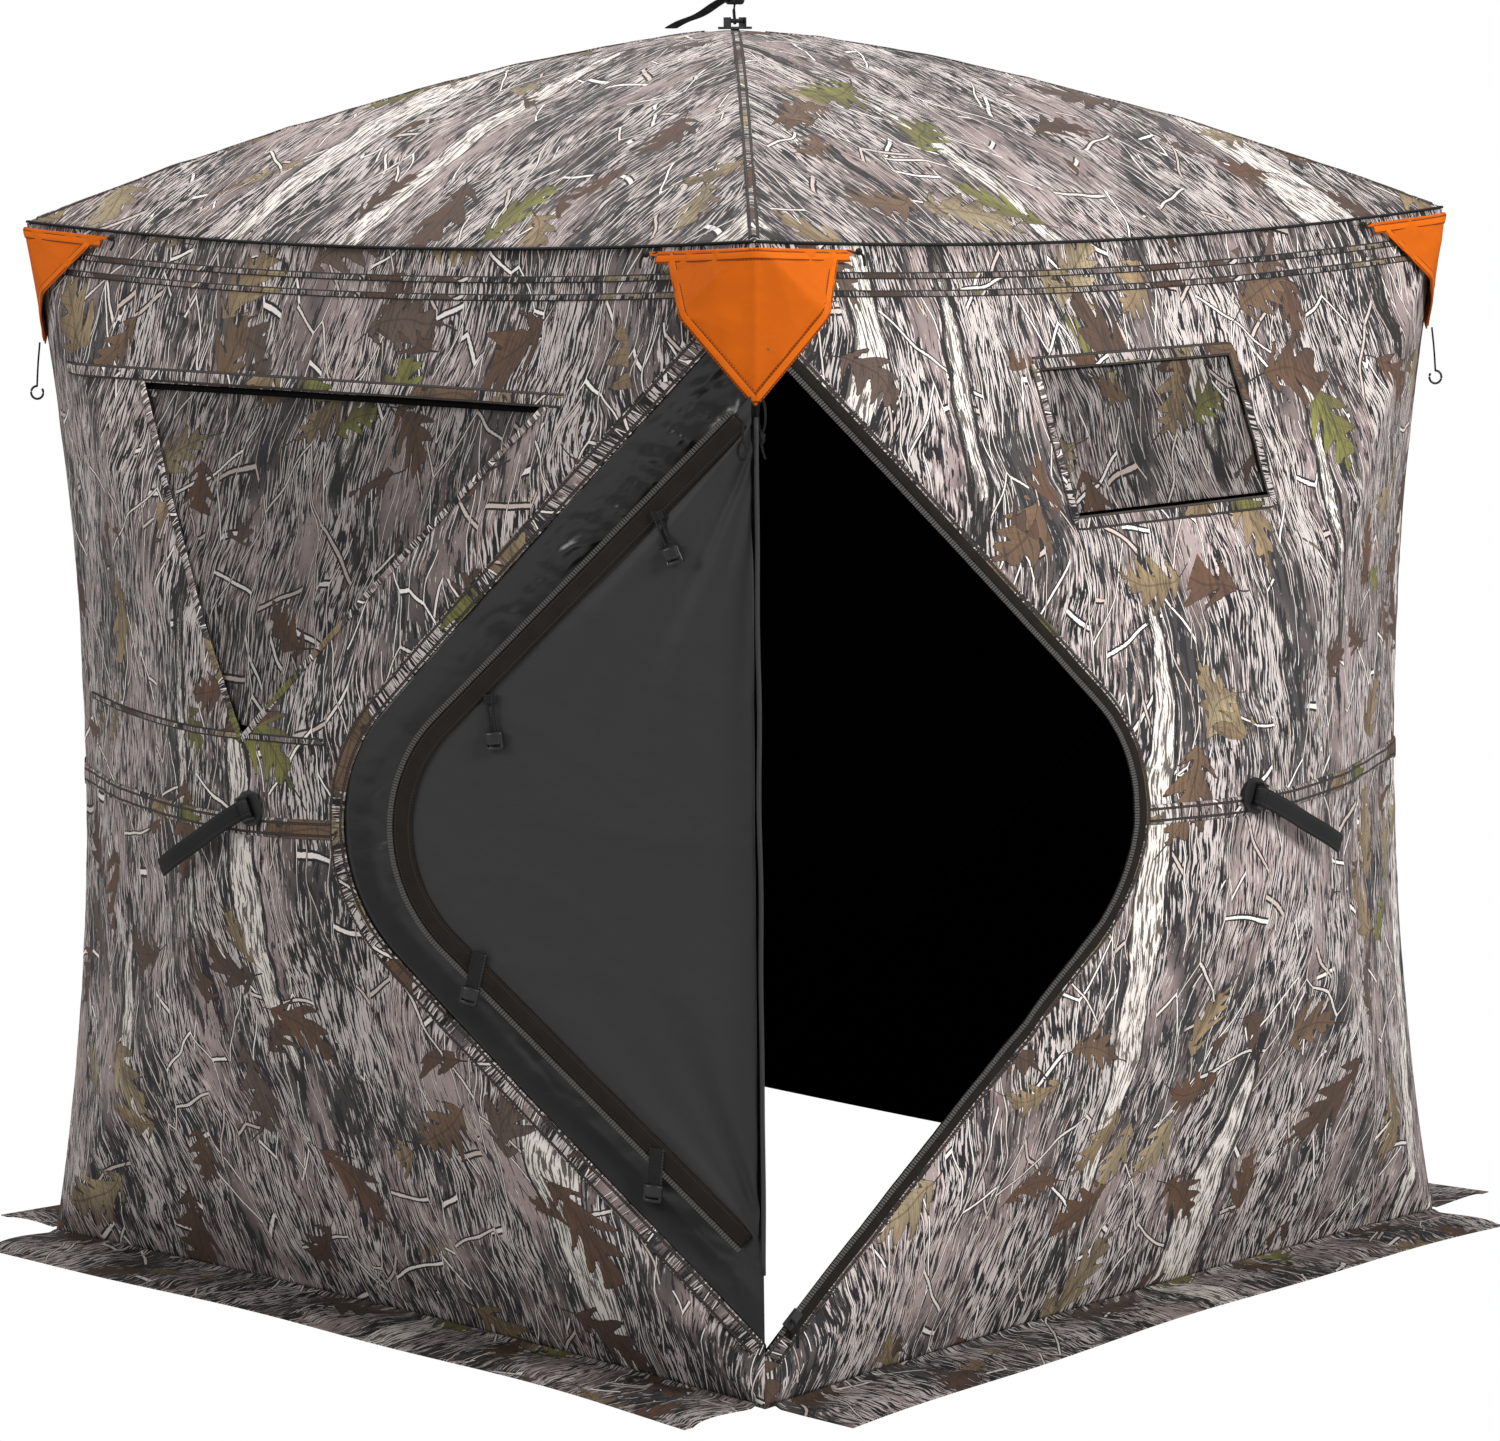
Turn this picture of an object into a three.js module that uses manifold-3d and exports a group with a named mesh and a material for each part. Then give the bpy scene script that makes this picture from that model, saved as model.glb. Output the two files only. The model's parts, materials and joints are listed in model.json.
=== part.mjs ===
// A pop-up hub ground blind: four bulging fabric walls and a roof, each pushed out by a
// hub with four flexible rods, a folded-back door leaf on the front right corner, window
// flaps, net windows, corner caps and a ground skirt. Millimetres, +Z up. The origin is the
// middle of the ground square. The walls are named front (-Y), right (+X), back and left.
import * as THREE from 'three';
import { mergeVertices } from 'three/addons/utils/BufferGeometryUtils.js';
import Module from 'manifold-3d';

const wasm = await Module();
wasm.setup();

// ---- Driving dimensions ---------------------------------------------------------------
const HALF_SIDE = 700; // middle of the blind to a wall line, on the ground
const CORNER_HEIGHT = 1441; // ground to the roof corners
const WALL_BULGE = 215; // how far a wall hub stands out past the wall line
const ROOF_RISE = 256; // roof hub above the roof corners
const RIDGE_POWER = 1.5; // 1 would give straight ridges from hub to corner
const CORNER_INSET = 44; // how far a corner seam pulls in at mid height
const ROOF_SAG = 21; // how far the roof edge hangs down between corners
const BASE_BOW = 22; // how far the bottom edge pulls in between corners
const FABRIC = 1.4; // thickness of a wall or the roof
const WALL_TOP_GAP = 2.0; // roof corner down to the top edge of a wall
const SEAM_GAP = 0.5; // between neighbouring walls at a corner seam
const WALL_STEPS = 10; // grid steps across a wall

const ROD_RADIUS = 4.75;
const ROD_DEPTH = 13; // rod centre line under the outer face of the fabric
const ROD_START = 0.045; // share of the way from the hub to the corner
const ROD_END = 0.94;
const ROD_SIDES = 6;
const ROD_STEPS = 7;
const FERRULE = { width: 12, length: 24, bore: 2.6 };

const HUB = {
  discRadius: 30,
  discTop: -7,
  discBottom: -23,
  earReach: 54,
  earThick: 3,
  earPlay: 0.6, // gap between a ferrule and each ear
  earOverlap: 8, // how far an ear runs into the disc
  earTrim: 4, // an ear is lower than the disc by this
  earDrop: 1,
};
const HUB_BOLT_RADIUS = 6;
const HUB_WASHER = { radius: 24, bottom: 0.6, top: 4 };
const HUB_PIN_RADIUS = 2.2;
const STRAP_PIN = { radius: 3, height: 12 };
const STRAP_LUG = { thick: 3, width: 12, top: 17, play: 0.8 };
const STRAP = { width: 26, thick: 3, ringRadius: 6.5, clearance: 0.5 };
const SIDE_STEPS = 10; // sides of small round pieces

const WALL_STRAP_TAIL = { length: 215, drop: 26 };
const ROOF_STRAP_TAIL = { length: 120, drop: 14 };
const ROOF_STRAP_TURN = 180; // degrees from +X, between two rods

// A door edge is two straight lines that meet the corner seam, joined by a round nose that
// points at the hub: the middle and radius of the nose, and the slope of the two lines.
const FRONT_DOOR_EDGE = { x: 367, z: 697, radius: 220, rise: 47.2, fall: 43.9 };
const RIGHT_DOOR_EDGE = { x: 408, z: 706, radius: 216, rise: 47.5, fall: 48 };
const PRISM = { depth: 700, near: -450 }; // a prism that cuts through one wall
const LEAF_EDGE = { x: 420, z: 700, radius: 206, rise: 46, fall: 43.5 };
const PANEL_GAP = 0.5; // between the fixed door panel and the wall around it

const LEAF_THICK = 2;
const LEAF_HEM = { width: 18, thick: 4 };
const LEAF_PLANE = { cornerX: 680, cornerDepth: 696, slope: 0.4, overrun: 20 }; // depth grows towards the hub
const LEAF_TOP = 1232;
const LEAF_HINGE_GAP = 4.7; // hinge line to the fold edge of the leaf

const TRACK = {
  inner: 2,
  outer: 15,
  bottom: 0.6,
  top: 2.6,
  nearCorner: 668,
  underCap: 630,
  cutDepth: 4000, // blocks that end the track near the corner
  cutHeight: 1000,
};
const SLIDER = { length: 26, width: 14, thick: 5, lift: 5, startX: 655, probe: 20 };

const TRIANGLE_WINDOW = [[-371, 1235], [-30, 800], [421, 1235]];
const BOX_WINDOW = [[-254, 1273], [-254, 1075], [147, 1075], [147, 1273]];
const FLAP = { margin: 14, outer: -4.5, inner: -6.5, lowest: 812 };
const NET = { margin: 8, outer: -9.5, inner: -11, lowest: 812 };

const CAP = {
  reach: 180,
  tip: 1240,
  lip: 24,
  inner: 0.6,
  outer: 2.6,
  overrun: 30, // past the corner seam
  above: 20, // past the roof edge
  seamOverlap: 0.3,
};

const SKIRT = { width: 152, thick: 2.5, gap: 2.4, band: 12, endTrim: 4 };
const SOCKET = { radius: 16, height: 30, topX: 672, topZ: 1392, footX: 668 };

// ---- Colours --------------------------------------------------------------------------
function finish(colour, roughness, metalness = 0) {
  return new THREE.MeshStandardMaterial({ color: colour, roughness, metalness });
}
const camoFabric = finish(0x857b72, 0.9);
const darkFabric = finish(0x2b2b2d, 0.75);
const orangeFabric = finish(0xd06a18, 0.8);
const blackNet = finish(0x141414, 0.9);
const blackWebbing = finish(0x1a1a1c, 0.85);
const hubPlastic = finish(0x18181a, 0.5);
const rodGlassfibre = finish(0x23252a, 0.45);
const zipTape = finish(0x5a4638, 0.7);
const zipMetal = finish(0x2a2a2c, 0.4, 0.6);

// ---- Solids helpers -------------------------------------------------------------------
// A closed three.js mesh as a solid that can be joined and cut.
function solidOf(geometry) {
  const bare = geometry.index ? geometry.clone() : geometry;
  bare.deleteAttribute('uv');
  bare.deleteAttribute('normal');
  const merged = mergeVertices(bare, 1e-4);
  const triVerts = Uint32Array.from(merged.index.array);
  const vertProperties = Float32Array.from(merged.attributes.position.array);
  return new wasm.Manifold(new wasm.Mesh({ numProp: 3, vertProperties, triVerts }));
}

// A solid back as three.js geometry.
function geometryOf(solid) {
  const mesh = solid.getMesh();
  const geometry = new THREE.BufferGeometry();
  geometry.setAttribute('position', new THREE.BufferAttribute(mesh.vertProperties, 3));
  geometry.setIndex(new THREE.BufferAttribute(mesh.triVerts, 1));
  geometry.computeVertexNormals();
  return geometry;
}

// A thin solid between two surfaces over one grid. point(u, v, lift) gives a place, with u
// and v from 0 to 1, u x v pointing out of the outer face.
function sheetSolid(columns, rows, point, outer, inner) {
  const across = columns + 1;
  const layer = across * (rows + 1);
  const positions = [];
  for (const lift of [outer, inner]) {
    for (let j = 0; j <= rows; j += 1) {
      for (let i = 0; i <= columns; i += 1) {
        positions.push(...point(i / columns, j / rows, lift).toArray());
      }
    }
  }
  const at = (i, j) => j * across + i;
  const index = [];
  for (let j = 0; j < rows; j += 1) {
    for (let i = 0; i < columns; i += 1) {
      const [a, b, c, d] = [at(i, j), at(i + 1, j), at(i + 1, j + 1), at(i, j + 1)];
      const risingRidge = (2 * i + 1 - columns) * (2 * j + 1 - rows) > 0;
      const triangles = risingRidge ? [[a, b, c], [a, c, d]] : [[a, b, d], [b, c, d]];
      for (const [p, q, r] of triangles) {
        index.push(p, q, r, p + layer, r + layer, q + layer);
      }
    }
  }
  const rim = [];
  for (let i = 0; i < columns; i += 1) {
    rim.push([at(i, 0), at(i + 1, 0)], [at(i + 1, rows), at(i, rows)]);
  }
  for (let j = 0; j < rows; j += 1) {
    rim.push([at(0, j + 1), at(0, j)], [at(columns, j), at(columns, j + 1)]);
  }
  for (const [p, q] of rim) {
    index.push(p, p + layer, q + layer, p, q + layer, q);
  }
  const geometry = new THREE.BufferGeometry();
  geometry.setAttribute('position', new THREE.Float32BufferAttribute(positions, 3));
  geometry.setIndex(index);
  return solidOf(geometry);
}

// An outline in a wall's X and Z, pushed right through that wall.
function throughWall(shape) {
  const prism = new THREE.ExtrudeGeometry(shape, { depth: PRISM.depth, bevelEnabled: false, curveSegments: 10 });
  prism.rotateX(Math.PI / 2);
  prism.translate(0, PRISM.near, 0);
  return solidOf(prism);
}

function boxSolid(x, y, z, centre) {
  const box = new THREE.BoxGeometry(x, y, z);
  box.translate(...centre);
  return solidOf(box);
}

// A cylinder between two heights on the Z axis.
function discSolid(radius, bottom, top) {
  const disc = new THREE.CylinderGeometry(radius, radius, top - bottom, SIDE_STEPS);
  disc.rotateX(Math.PI / 2);
  disc.translate(0, 0, (top + bottom) / 2);
  return solidOf(disc);
}

// A pin along the Y axis.
function pinSolid(radius, length, x, z) {
  const pin = new THREE.CylinderGeometry(radius, radius, length, 8);
  pin.translate(x, 0, z);
  return solidOf(pin);
}

// ---- The bulging surfaces -------------------------------------------------------------
// A place on the front wall. s runs from -1 to 1 across it and t from -1 at the ground to 1
// at the roof edge. The bulge is 1 - m^RIDGE_POWER, with m the larger of |s| and |t|, which
// makes four facets with ridges from the hub to the corners.
function wallPoint(s, t, lift) {
  const half = HALF_SIDE - CORNER_INSET * (1 - t * t);
  const m = Math.max(Math.abs(s), Math.abs(t));
  const bulge = (WALL_BULGE + CORNER_INSET) * (1 - m ** RIDGE_POWER);
  const bow = BASE_BOW * (1 - s * s) * ((1 - t) / 2) ** 4;
  const top = CORNER_HEIGHT - WALL_TOP_GAP - ROOF_SAG * (1 - s * s);
  return new THREE.Vector3(s * (half + lift), -(half + bulge - bow + lift), ((1 + t) / 2) * top);
}

// The same for the roof, with s along X and t along Y.
function roofPoint(s, t, lift) {
  const m = Math.max(Math.abs(s), Math.abs(t));
  const n = Math.min(Math.abs(s), Math.abs(t));
  const rise = ROOF_RISE * (1 - m ** RIDGE_POWER);
  const sag = ROOF_SAG * m * m * (m * m - n * n);
  return new THREE.Vector3(s * HALF_SIDE, t * HALF_SIDE, CORNER_HEIGHT + rise - sag + lift);
}

// The s and t of the wall at a height and a distance along it, found by repeated correction.
function wallParameters(x, z) {
  let s = x / HALF_SIDE;
  let t = 0;
  for (let round = 0; round < 8; round += 1) {
    t = (2 * z) / (CORNER_HEIGHT - WALL_TOP_GAP - ROOF_SAG * (1 - s * s)) - 1;
    s = x / (HALF_SIDE - CORNER_INSET * (1 - t * t));
  }
  return [s, t];
}

// The front wall between two lifts. It passes the corner seams by an overrun, which is below 0
// for a wall that keeps clear of its neighbour.
function wallSheet(outer, inner, overrun = -SEAM_GAP / 2) {
  const reach = 1 + overrun / HALF_SIDE;
  const spot = (u, v, lift) => wallPoint((2 * u - 1) * reach, 2 * v - 1, lift);
  return sheetSolid(WALL_STEPS, WALL_STEPS, spot, outer, inner);
}

function roofSheet() {
  const spot = (u, v, lift) => roofPoint(2 * u - 1, 2 * v - 1, lift);
  return sheetSolid(WALL_STEPS, WALL_STEPS, spot, 0, -FABRIC);
}

// ---- Outlines -------------------------------------------------------------------------
// A door half seen from outside, with the corner seam on +X: two lines and a round nose,
// grown outwards by a margin. side -1 mirrors it for the wall on the other side.
function doorOutline(edge, grow, side, cornerX = HALF_SIDE + 40) {
  const radius = edge.radius + grow;
  const up = THREE.MathUtils.degToRad(edge.rise);
  const down = THREE.MathUtils.degToRad(edge.fall);
  const highX = edge.x - radius * Math.sin(up);
  const highZ = edge.z + radius * Math.cos(up);
  const lowX = edge.x - radius * Math.sin(down);
  const lowZ = edge.z - radius * Math.cos(down);
  const places = [new THREE.Vector2(cornerX, highZ + (cornerX - highX) * Math.tan(up))];
  const noseSteps = 8;
  for (let i = 0; i <= noseSteps; i += 1) {
    const angle = Math.PI / 2 + up + ((Math.PI - up - down) * i) / noseSteps;
    places.push(new THREE.Vector2(edge.x + radius * Math.cos(angle), edge.z + radius * Math.sin(angle)));
  }
  places.push(new THREE.Vector2(cornerX, lowZ - (cornerX - lowX) * Math.tan(down)));
  for (const place of places) {
    place.x *= side;
  }
  if (side < 0) {
    places.reverse();
  }
  return new THREE.Shape(places);
}

// A straight-sided outline grown outwards by a margin, and cut off below a height.
function grownOutline(corners, margin, lowest) {
  const count = corners.length;
  const grown = corners.map(([x, z], i) => {
    const [px, pz] = corners[(i + count - 1) % count];
    const [nx, nz] = corners[(i + 1) % count];
    const before = new THREE.Vector2(x - px, z - pz).normalize();
    const after = new THREE.Vector2(nx - x, nz - z).normalize();
    const outBefore = new THREE.Vector2(before.y, -before.x);
    const outAfter = new THREE.Vector2(after.y, -after.x);
    const reach = margin / (1 + outBefore.dot(outAfter));
    return new THREE.Vector2(x, z).add(outBefore.add(outAfter).multiplyScalar(reach));
  });
  const solid = throughWall(new THREE.Shape(grown));
  return solid.trimByPlane([0, 0, 1], lowest);
}

// ---- Pieces ---------------------------------------------------------------------------
// The hub: a disc inside the fabric with ears for four rods, a bolt through the fabric, and
// a washer outside with a pin for the pull strap. Z points out of the wall.
function makeHub(rodAngles, rodPivots, strapAngle) {
  const disc = discSolid(HUB.discRadius, HUB.discBottom, HUB.discTop);
  const bolt = discSolid(HUB_BOLT_RADIUS, HUB.discTop - 2, HUB_WASHER.bottom + 1);
  const washer = discSolid(HUB_WASHER.radius, HUB_WASHER.bottom, HUB_WASHER.top);
  let hub = disc.add(bolt).add(washer);
  const earOffset = FERRULE.width / 2 + HUB.earPlay + HUB.earThick / 2;
  const earRoot = HUB.discRadius - HUB.earOverlap;
  const earMiddle = (HUB.earReach + earRoot) / 2;
  const earLength = HUB.earReach - earRoot;
  const earHeight = HUB.discTop - HUB.discBottom - HUB.earTrim;
  rodAngles.forEach((angle, i) => {
    const pivot = rodPivots[i];
    let ears = pinSolid(HUB_PIN_RADIUS, 2 * earOffset, pivot.x, pivot.z);
    for (const side of [-1, 1]) {
      const centre = [earMiddle, side * earOffset, (HUB.discTop + HUB.discBottom) / 2 - HUB.earDrop];
      ears = ears.add(boxSolid(earLength, HUB.earThick, earHeight, centre));
    }
    hub = hub.add(ears.rotate([0, 0, THREE.MathUtils.radToDeg(angle)]));
  });
  const lugOffset = STRAP.width / 2 + STRAP_LUG.play + STRAP_LUG.thick / 2;
  let eye = pinSolid(STRAP_PIN.radius, 2 * lugOffset, 0, STRAP_PIN.height);
  for (const side of [-1, 1]) {
    const bottom = HUB_WASHER.bottom + 0.5;
    const centre = [0, side * lugOffset, (STRAP_LUG.top + bottom) / 2];
    eye = eye.add(boxSolid(STRAP_LUG.width, STRAP_LUG.thick, STRAP_LUG.top - bottom, centre));
  }
  return hub.add(eye.rotate([0, 0, THREE.MathUtils.radToDeg(strapAngle)]));
}

// A pull strap: a loop round the hub's pin and a tail along X that curves down to the wall.
function makeStrap({ length, drop }) {
  const loop = new THREE.Shape();
  loop.absarc(0, 0, STRAP.ringRadius, 0, 2 * Math.PI);
  const eye = new THREE.Path();
  eye.absarc(0, 0, STRAP_PIN.radius + STRAP.clearance, 0, 2 * Math.PI, true);
  loop.holes.push(eye);
  const tail = new THREE.Shape();
  const tailStart = STRAP.ringRadius - 1.5;
  const steps = 8;
  const heightAt = (share) => STRAP.ringRadius - STRAP.thick / 2 - 2 - drop * share ** 2;
  tail.moveTo(tailStart, heightAt(0) - STRAP.thick / 2);
  for (let i = 1; i <= steps; i += 1) {
    tail.lineTo(tailStart + (length * i) / steps, heightAt(i / steps) - STRAP.thick / 2);
  }
  for (let i = steps; i >= 0; i -= 1) {
    tail.lineTo(tailStart + (length * i) / steps, heightAt(i / steps) + STRAP.thick / 2);
  }
  const settings = { depth: STRAP.width, bevelEnabled: false, curveSegments: 8 };
  const solids = [loop, tail].map((shape) => solidOf(new THREE.ExtrudeGeometry(shape, settings)));
  const strap = geometryOf(solids[0].add(solids[1]));
  strap.rotateX(Math.PI / 2);
  strap.translate(0, STRAP.width / 2, 0);
  return strap;
}

// A rod that follows a ridge under the fabric, with a bored ferrule on its hub end.
function makeRod(surface, outward, s, t) {
  const under = (share) => surface(s * share, t * share, -ROD_DEPTH);
  const places = [];
  for (let i = 0; i <= ROD_STEPS; i += 1) {
    places.push(under(ROD_START + ((ROD_END - ROD_START) * i) / ROD_STEPS));
  }
  const section = new THREE.Shape();
  for (let i = 0; i < ROD_SIDES; i += 1) {
    const angle = (2 * Math.PI * i) / ROD_SIDES;
    const place = [ROD_RADIUS * Math.cos(angle), ROD_RADIUS * Math.sin(angle)];
    section[i ? 'lineTo' : 'moveTo'](...place);
  }
  const path = new THREE.CatmullRomCurve3(places);
  const rod = solidOf(new THREE.ExtrudeGeometry(section, { steps: ROD_STEPS, extrudePath: path }));
  const along = places[1].clone().sub(places[0]).normalize();
  const pinAxis = outward.clone().cross(along).normalize();
  const frame = new THREE.Matrix4().makeBasis(along, pinAxis, along.clone().cross(pinAxis));
  frame.setPosition(places[0]);
  const ferrule = new THREE.BoxGeometry(FERRULE.length, FERRULE.width, FERRULE.width).applyMatrix4(frame);
  const bore = new THREE.CylinderGeometry(FERRULE.bore, FERRULE.bore, 2 * FERRULE.width, 8);
  bore.applyMatrix4(frame);
  return geometryOf(rod.add(solidOf(ferrule)).subtract(solidOf(bore)));
}

// One side of a corner cap: deep at the corner seam and narrow at its far end. side is 1 for
// a seam at the right end of a wall, -1 for a seam at its left end.
function capSide(side) {
  const beyond = HALF_SIDE + CAP.overrun;
  const slope = (CORNER_HEIGHT - CAP.lip - CAP.tip) / CAP.reach;
  const places = [
    new THREE.Vector2(side * beyond, CORNER_HEIGHT + CAP.above),
    new THREE.Vector2(side * (HALF_SIDE - CAP.reach), CORNER_HEIGHT + CAP.above),
    new THREE.Vector2(side * (HALF_SIDE - CAP.reach), CORNER_HEIGHT - CAP.lip),
    new THREE.Vector2(side * beyond, CAP.tip - slope * CAP.overrun),
  ];
  if (side < 0) {
    places.reverse();
  }
  const skin = wallSheet(CAP.outer, CAP.inner, CAP.seamOverlap);
  return skin.intersect(throughWall(new THREE.Shape(places)));
}

// A corner cap wraps the seam between the front wall and the right wall.
function makeCap() {
  return geometryOf(capSide(1).add(capSide(-1).rotate([0, 0, 90])));
}

// A flat slab that follows the plane of the open leaf, of a thickness, up to the hinge line.
function leafSlab(thickness) {
  const depthAt = (x) => LEAF_PLANE.cornerDepth + LEAF_PLANE.slope * (LEAF_PLANE.cornerX - x);
  const hingeX = hingeLine() - LEAF_HINGE_GAP;
  const farX = LEAF_EDGE.x - LEAF_EDGE.radius - LEAF_PLANE.overrun;
  const plan = new THREE.Shape([
    new THREE.Vector2(farX, -depthAt(farX) - thickness / 2),
    new THREE.Vector2(hingeX, -depthAt(hingeX) - thickness / 2),
    new THREE.Vector2(hingeX, -depthAt(hingeX) + thickness / 2),
    new THREE.Vector2(farX, -depthAt(farX) + thickness / 2),
  ]);
  return solidOf(new THREE.ExtrudeGeometry(plan, { depth: LEAF_TOP, bevelEnabled: false }));
}

// The hinge line stands where the leaf's plane crosses the diagonal through the corner.
function hingeLine() {
  const { cornerX, cornerDepth, slope } = LEAF_PLANE;
  return (cornerDepth + slope * cornerX) / (1 + slope);
}

// The door leaf: a flat skin with a thicker hem that holds one half of the zip.
function makeLeaf() {
  const outline = throughWall(doorOutline(LEAF_EDGE, 0, 1));
  const inside = throughWall(doorOutline(LEAF_EDGE, -LEAF_HEM.width, 1));
  const skin = leafSlab(LEAF_THICK).intersect(outline);
  const hem = leafSlab(LEAF_HEM.thick).intersect(outline.subtract(inside));
  return geometryOf(skin.add(hem));
}

// The zip half on the right wall: a band outside the fabric along the doorway.
function makeTrack() {
  const grown = throughWall(doorOutline(RIGHT_DOOR_EDGE, TRACK.outer, -1));
  const bare = throughWall(doorOutline(RIGHT_DOOR_EDGE, TRACK.inner, -1));
  const half = (reach, middle) => boxSolid(reach, TRACK.cutDepth, TRACK.cutHeight, [-reach / 2, 0, middle]);
  const upper = half(TRACK.underCap, RIGHT_DOOR_EDGE.z + TRACK.cutHeight / 2);
  const lower = half(TRACK.nearCorner, RIGHT_DOOR_EDGE.z + 1 - TRACK.cutHeight / 2);
  const band = wallSheet(TRACK.top, TRACK.bottom).intersect(grown.subtract(bare));
  return geometryOf(band.intersect(upper.add(lower)));
}

// The zip slider, at the lower end of the track, with its length along the track.
function makeSlider() {
  const height = (x) => {
    const down = THREE.MathUtils.degToRad(RIGHT_DOOR_EDGE.fall);
    const lowX = RIGHT_DOOR_EDGE.x - RIGHT_DOOR_EDGE.radius * Math.sin(down);
    return RIGHT_DOOR_EDGE.z - RIGHT_DOOR_EDGE.radius * Math.cos(down) - (x - lowX) * Math.tan(down);
  };
  const spot = (x) => wallPoint(...wallParameters(-x, height(x)), SLIDER.lift + SLIDER.thick / 2);
  const start = spot(SLIDER.startX);
  const along = spot(SLIDER.startX - SLIDER.probe).sub(start).normalize();
  const across = new THREE.Vector3(0, -1, 0).cross(along).normalize();
  const frame = new THREE.Matrix4().makeBasis(along, across, along.clone().cross(across));
  frame.setPosition(start);
  return new THREE.BoxGeometry(SLIDER.length, SLIDER.width, SLIDER.thick).applyMatrix4(frame);
}

// The skirt: a narrow band round the foot of the walls with a wide flap on each side.
function makeSkirt() {
  const steps = 8;
  const outer = [];
  const inner = [];
  for (let side = 0; side < 4; side += 1) {
    const turn = new THREE.Vector2();
    const place = (x, y) => turn.set(x, y).rotateAround(new THREE.Vector2(), (side * Math.PI) / 2).clone();
    const flapEnd = HALF_SIDE - SKIRT.endTrim;
    const bandEdge = HALF_SIDE + SKIRT.gap + SKIRT.band;
    outer.push(place(-flapEnd, -bandEdge), place(-flapEnd, -HALF_SIDE - SKIRT.width));
    outer.push(place(flapEnd, -HALF_SIDE - SKIRT.width), place(flapEnd, -bandEdge));
    outer.push(place(bandEdge, -bandEdge));
    for (let i = 0; i < steps; i += 1) {
      const s = (2 * i) / steps - 1;
      const edge = HALF_SIDE + SKIRT.gap - BASE_BOW * (1 - s * s);
      inner.push(place(s * (HALF_SIDE + SKIRT.gap), -edge));
    }
  }
  const plan = new THREE.Shape(outer);
  plan.holes.push(new THREE.Path(inner.reverse()));
  return new THREE.ExtrudeGeometry(plan, { depth: SKIRT.thick, bevelEnabled: false });
}

// A moulded cup that takes the ends of the rods in a corner.
function makeSocket() {
  const { radius, height } = SOCKET;
  const profile = [[0, 0], [radius, 0], [radius, height * 0.7], [radius * 0.6, height], [0, height]];
  const cup = new THREE.LatheGeometry(profile.map((place) => new THREE.Vector2(...place)), SIDE_STEPS);
  cup.rotateX(Math.PI / 2);
  return geometryOf(solidOf(cup));
}

// ---- Assembly -------------------------------------------------------------------------
const blind = new THREE.Group();

function add(parent, name, geometry, material) {
  const mesh = new THREE.Mesh(geometry, material);
  mesh.name = name;
  parent.add(mesh);
  return mesh;
}

// A hub, its four rods and its pull strap on one bulging surface. strapTurn is the strap's
// direction in the surface, in degrees from X towards the up direction.
function addHubSet(parent, side, surface, outward, strapTurn, strapTail) {
  const peak = surface(0, 0, 0);
  const right = new THREE.Vector3(1, 0, 0);
  const up = outward.clone().cross(right);
  const basis = new THREE.Matrix4().makeBasis(right, up, outward);
  const ends = { top_right: [1, 1], top_left: [-1, 1], bottom_left: [-1, -1], bottom_right: [1, -1] };
  const angles = [];
  const pivots = [];
  for (const [end, [s, t]] of Object.entries(ends)) {
    add(parent, `${side}_rod_${end}`, makeRod(surface, outward, s, t), rodGlassfibre);
    const root = surface(s * ROD_START, t * ROD_START, -ROD_DEPTH).sub(peak);
    const local = new THREE.Vector3(root.dot(right), root.dot(up), root.dot(outward));
    angles.push(Math.atan2(local.y, local.x));
    pivots.push(new THREE.Vector3(Math.hypot(local.x, local.y), 0, local.z));
  }
  const strapAngle = THREE.MathUtils.degToRad(strapTurn);
  const hub = add(parent, `${side}_hub`, geometryOf(makeHub(angles, pivots, strapAngle)), hubPlastic);
  hub.position.copy(peak);
  hub.quaternion.setFromRotationMatrix(basis);
  const strap = add(parent, `${side}_pull_strap`, makeStrap(strapTail), blackWebbing);
  strap.position.copy(peak).addScaledVector(outward, STRAP_PIN.height);
  strap.quaternion.setFromRotationMatrix(basis);
  strap.rotateZ(strapAngle);
}

// A hole for the hub's bolt, along an axis.
function boltHole(peak, alongY) {
  const hole = new THREE.CylinderGeometry(HUB_BOLT_RADIUS + 0.6, HUB_BOLT_RADIUS + 0.6, 40, SIDE_STEPS);
  if (!alongY) {
    hole.rotateX(Math.PI / 2);
  }
  hole.translate(peak.x, peak.y, peak.z);
  return solidOf(hole);
}

const walls = [
  { side: 'front', window: TRIANGLE_WINDOW, door: throughWall(doorOutline(FRONT_DOOR_EDGE, 0, 1)), strapTurn: 207 },
  { side: 'right', window: BOX_WINDOW, door: throughWall(doorOutline(RIGHT_DOOR_EDGE, 0, -1)), strapTurn: -24 },
  { side: 'back', window: TRIANGLE_WINDOW, door: null, strapTurn: 207 },
  { side: 'left', window: TRIANGLE_WINDOW, door: null, strapTurn: -24 },
];
const outOfFront = new THREE.Vector3(0, -1, 0);

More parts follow.
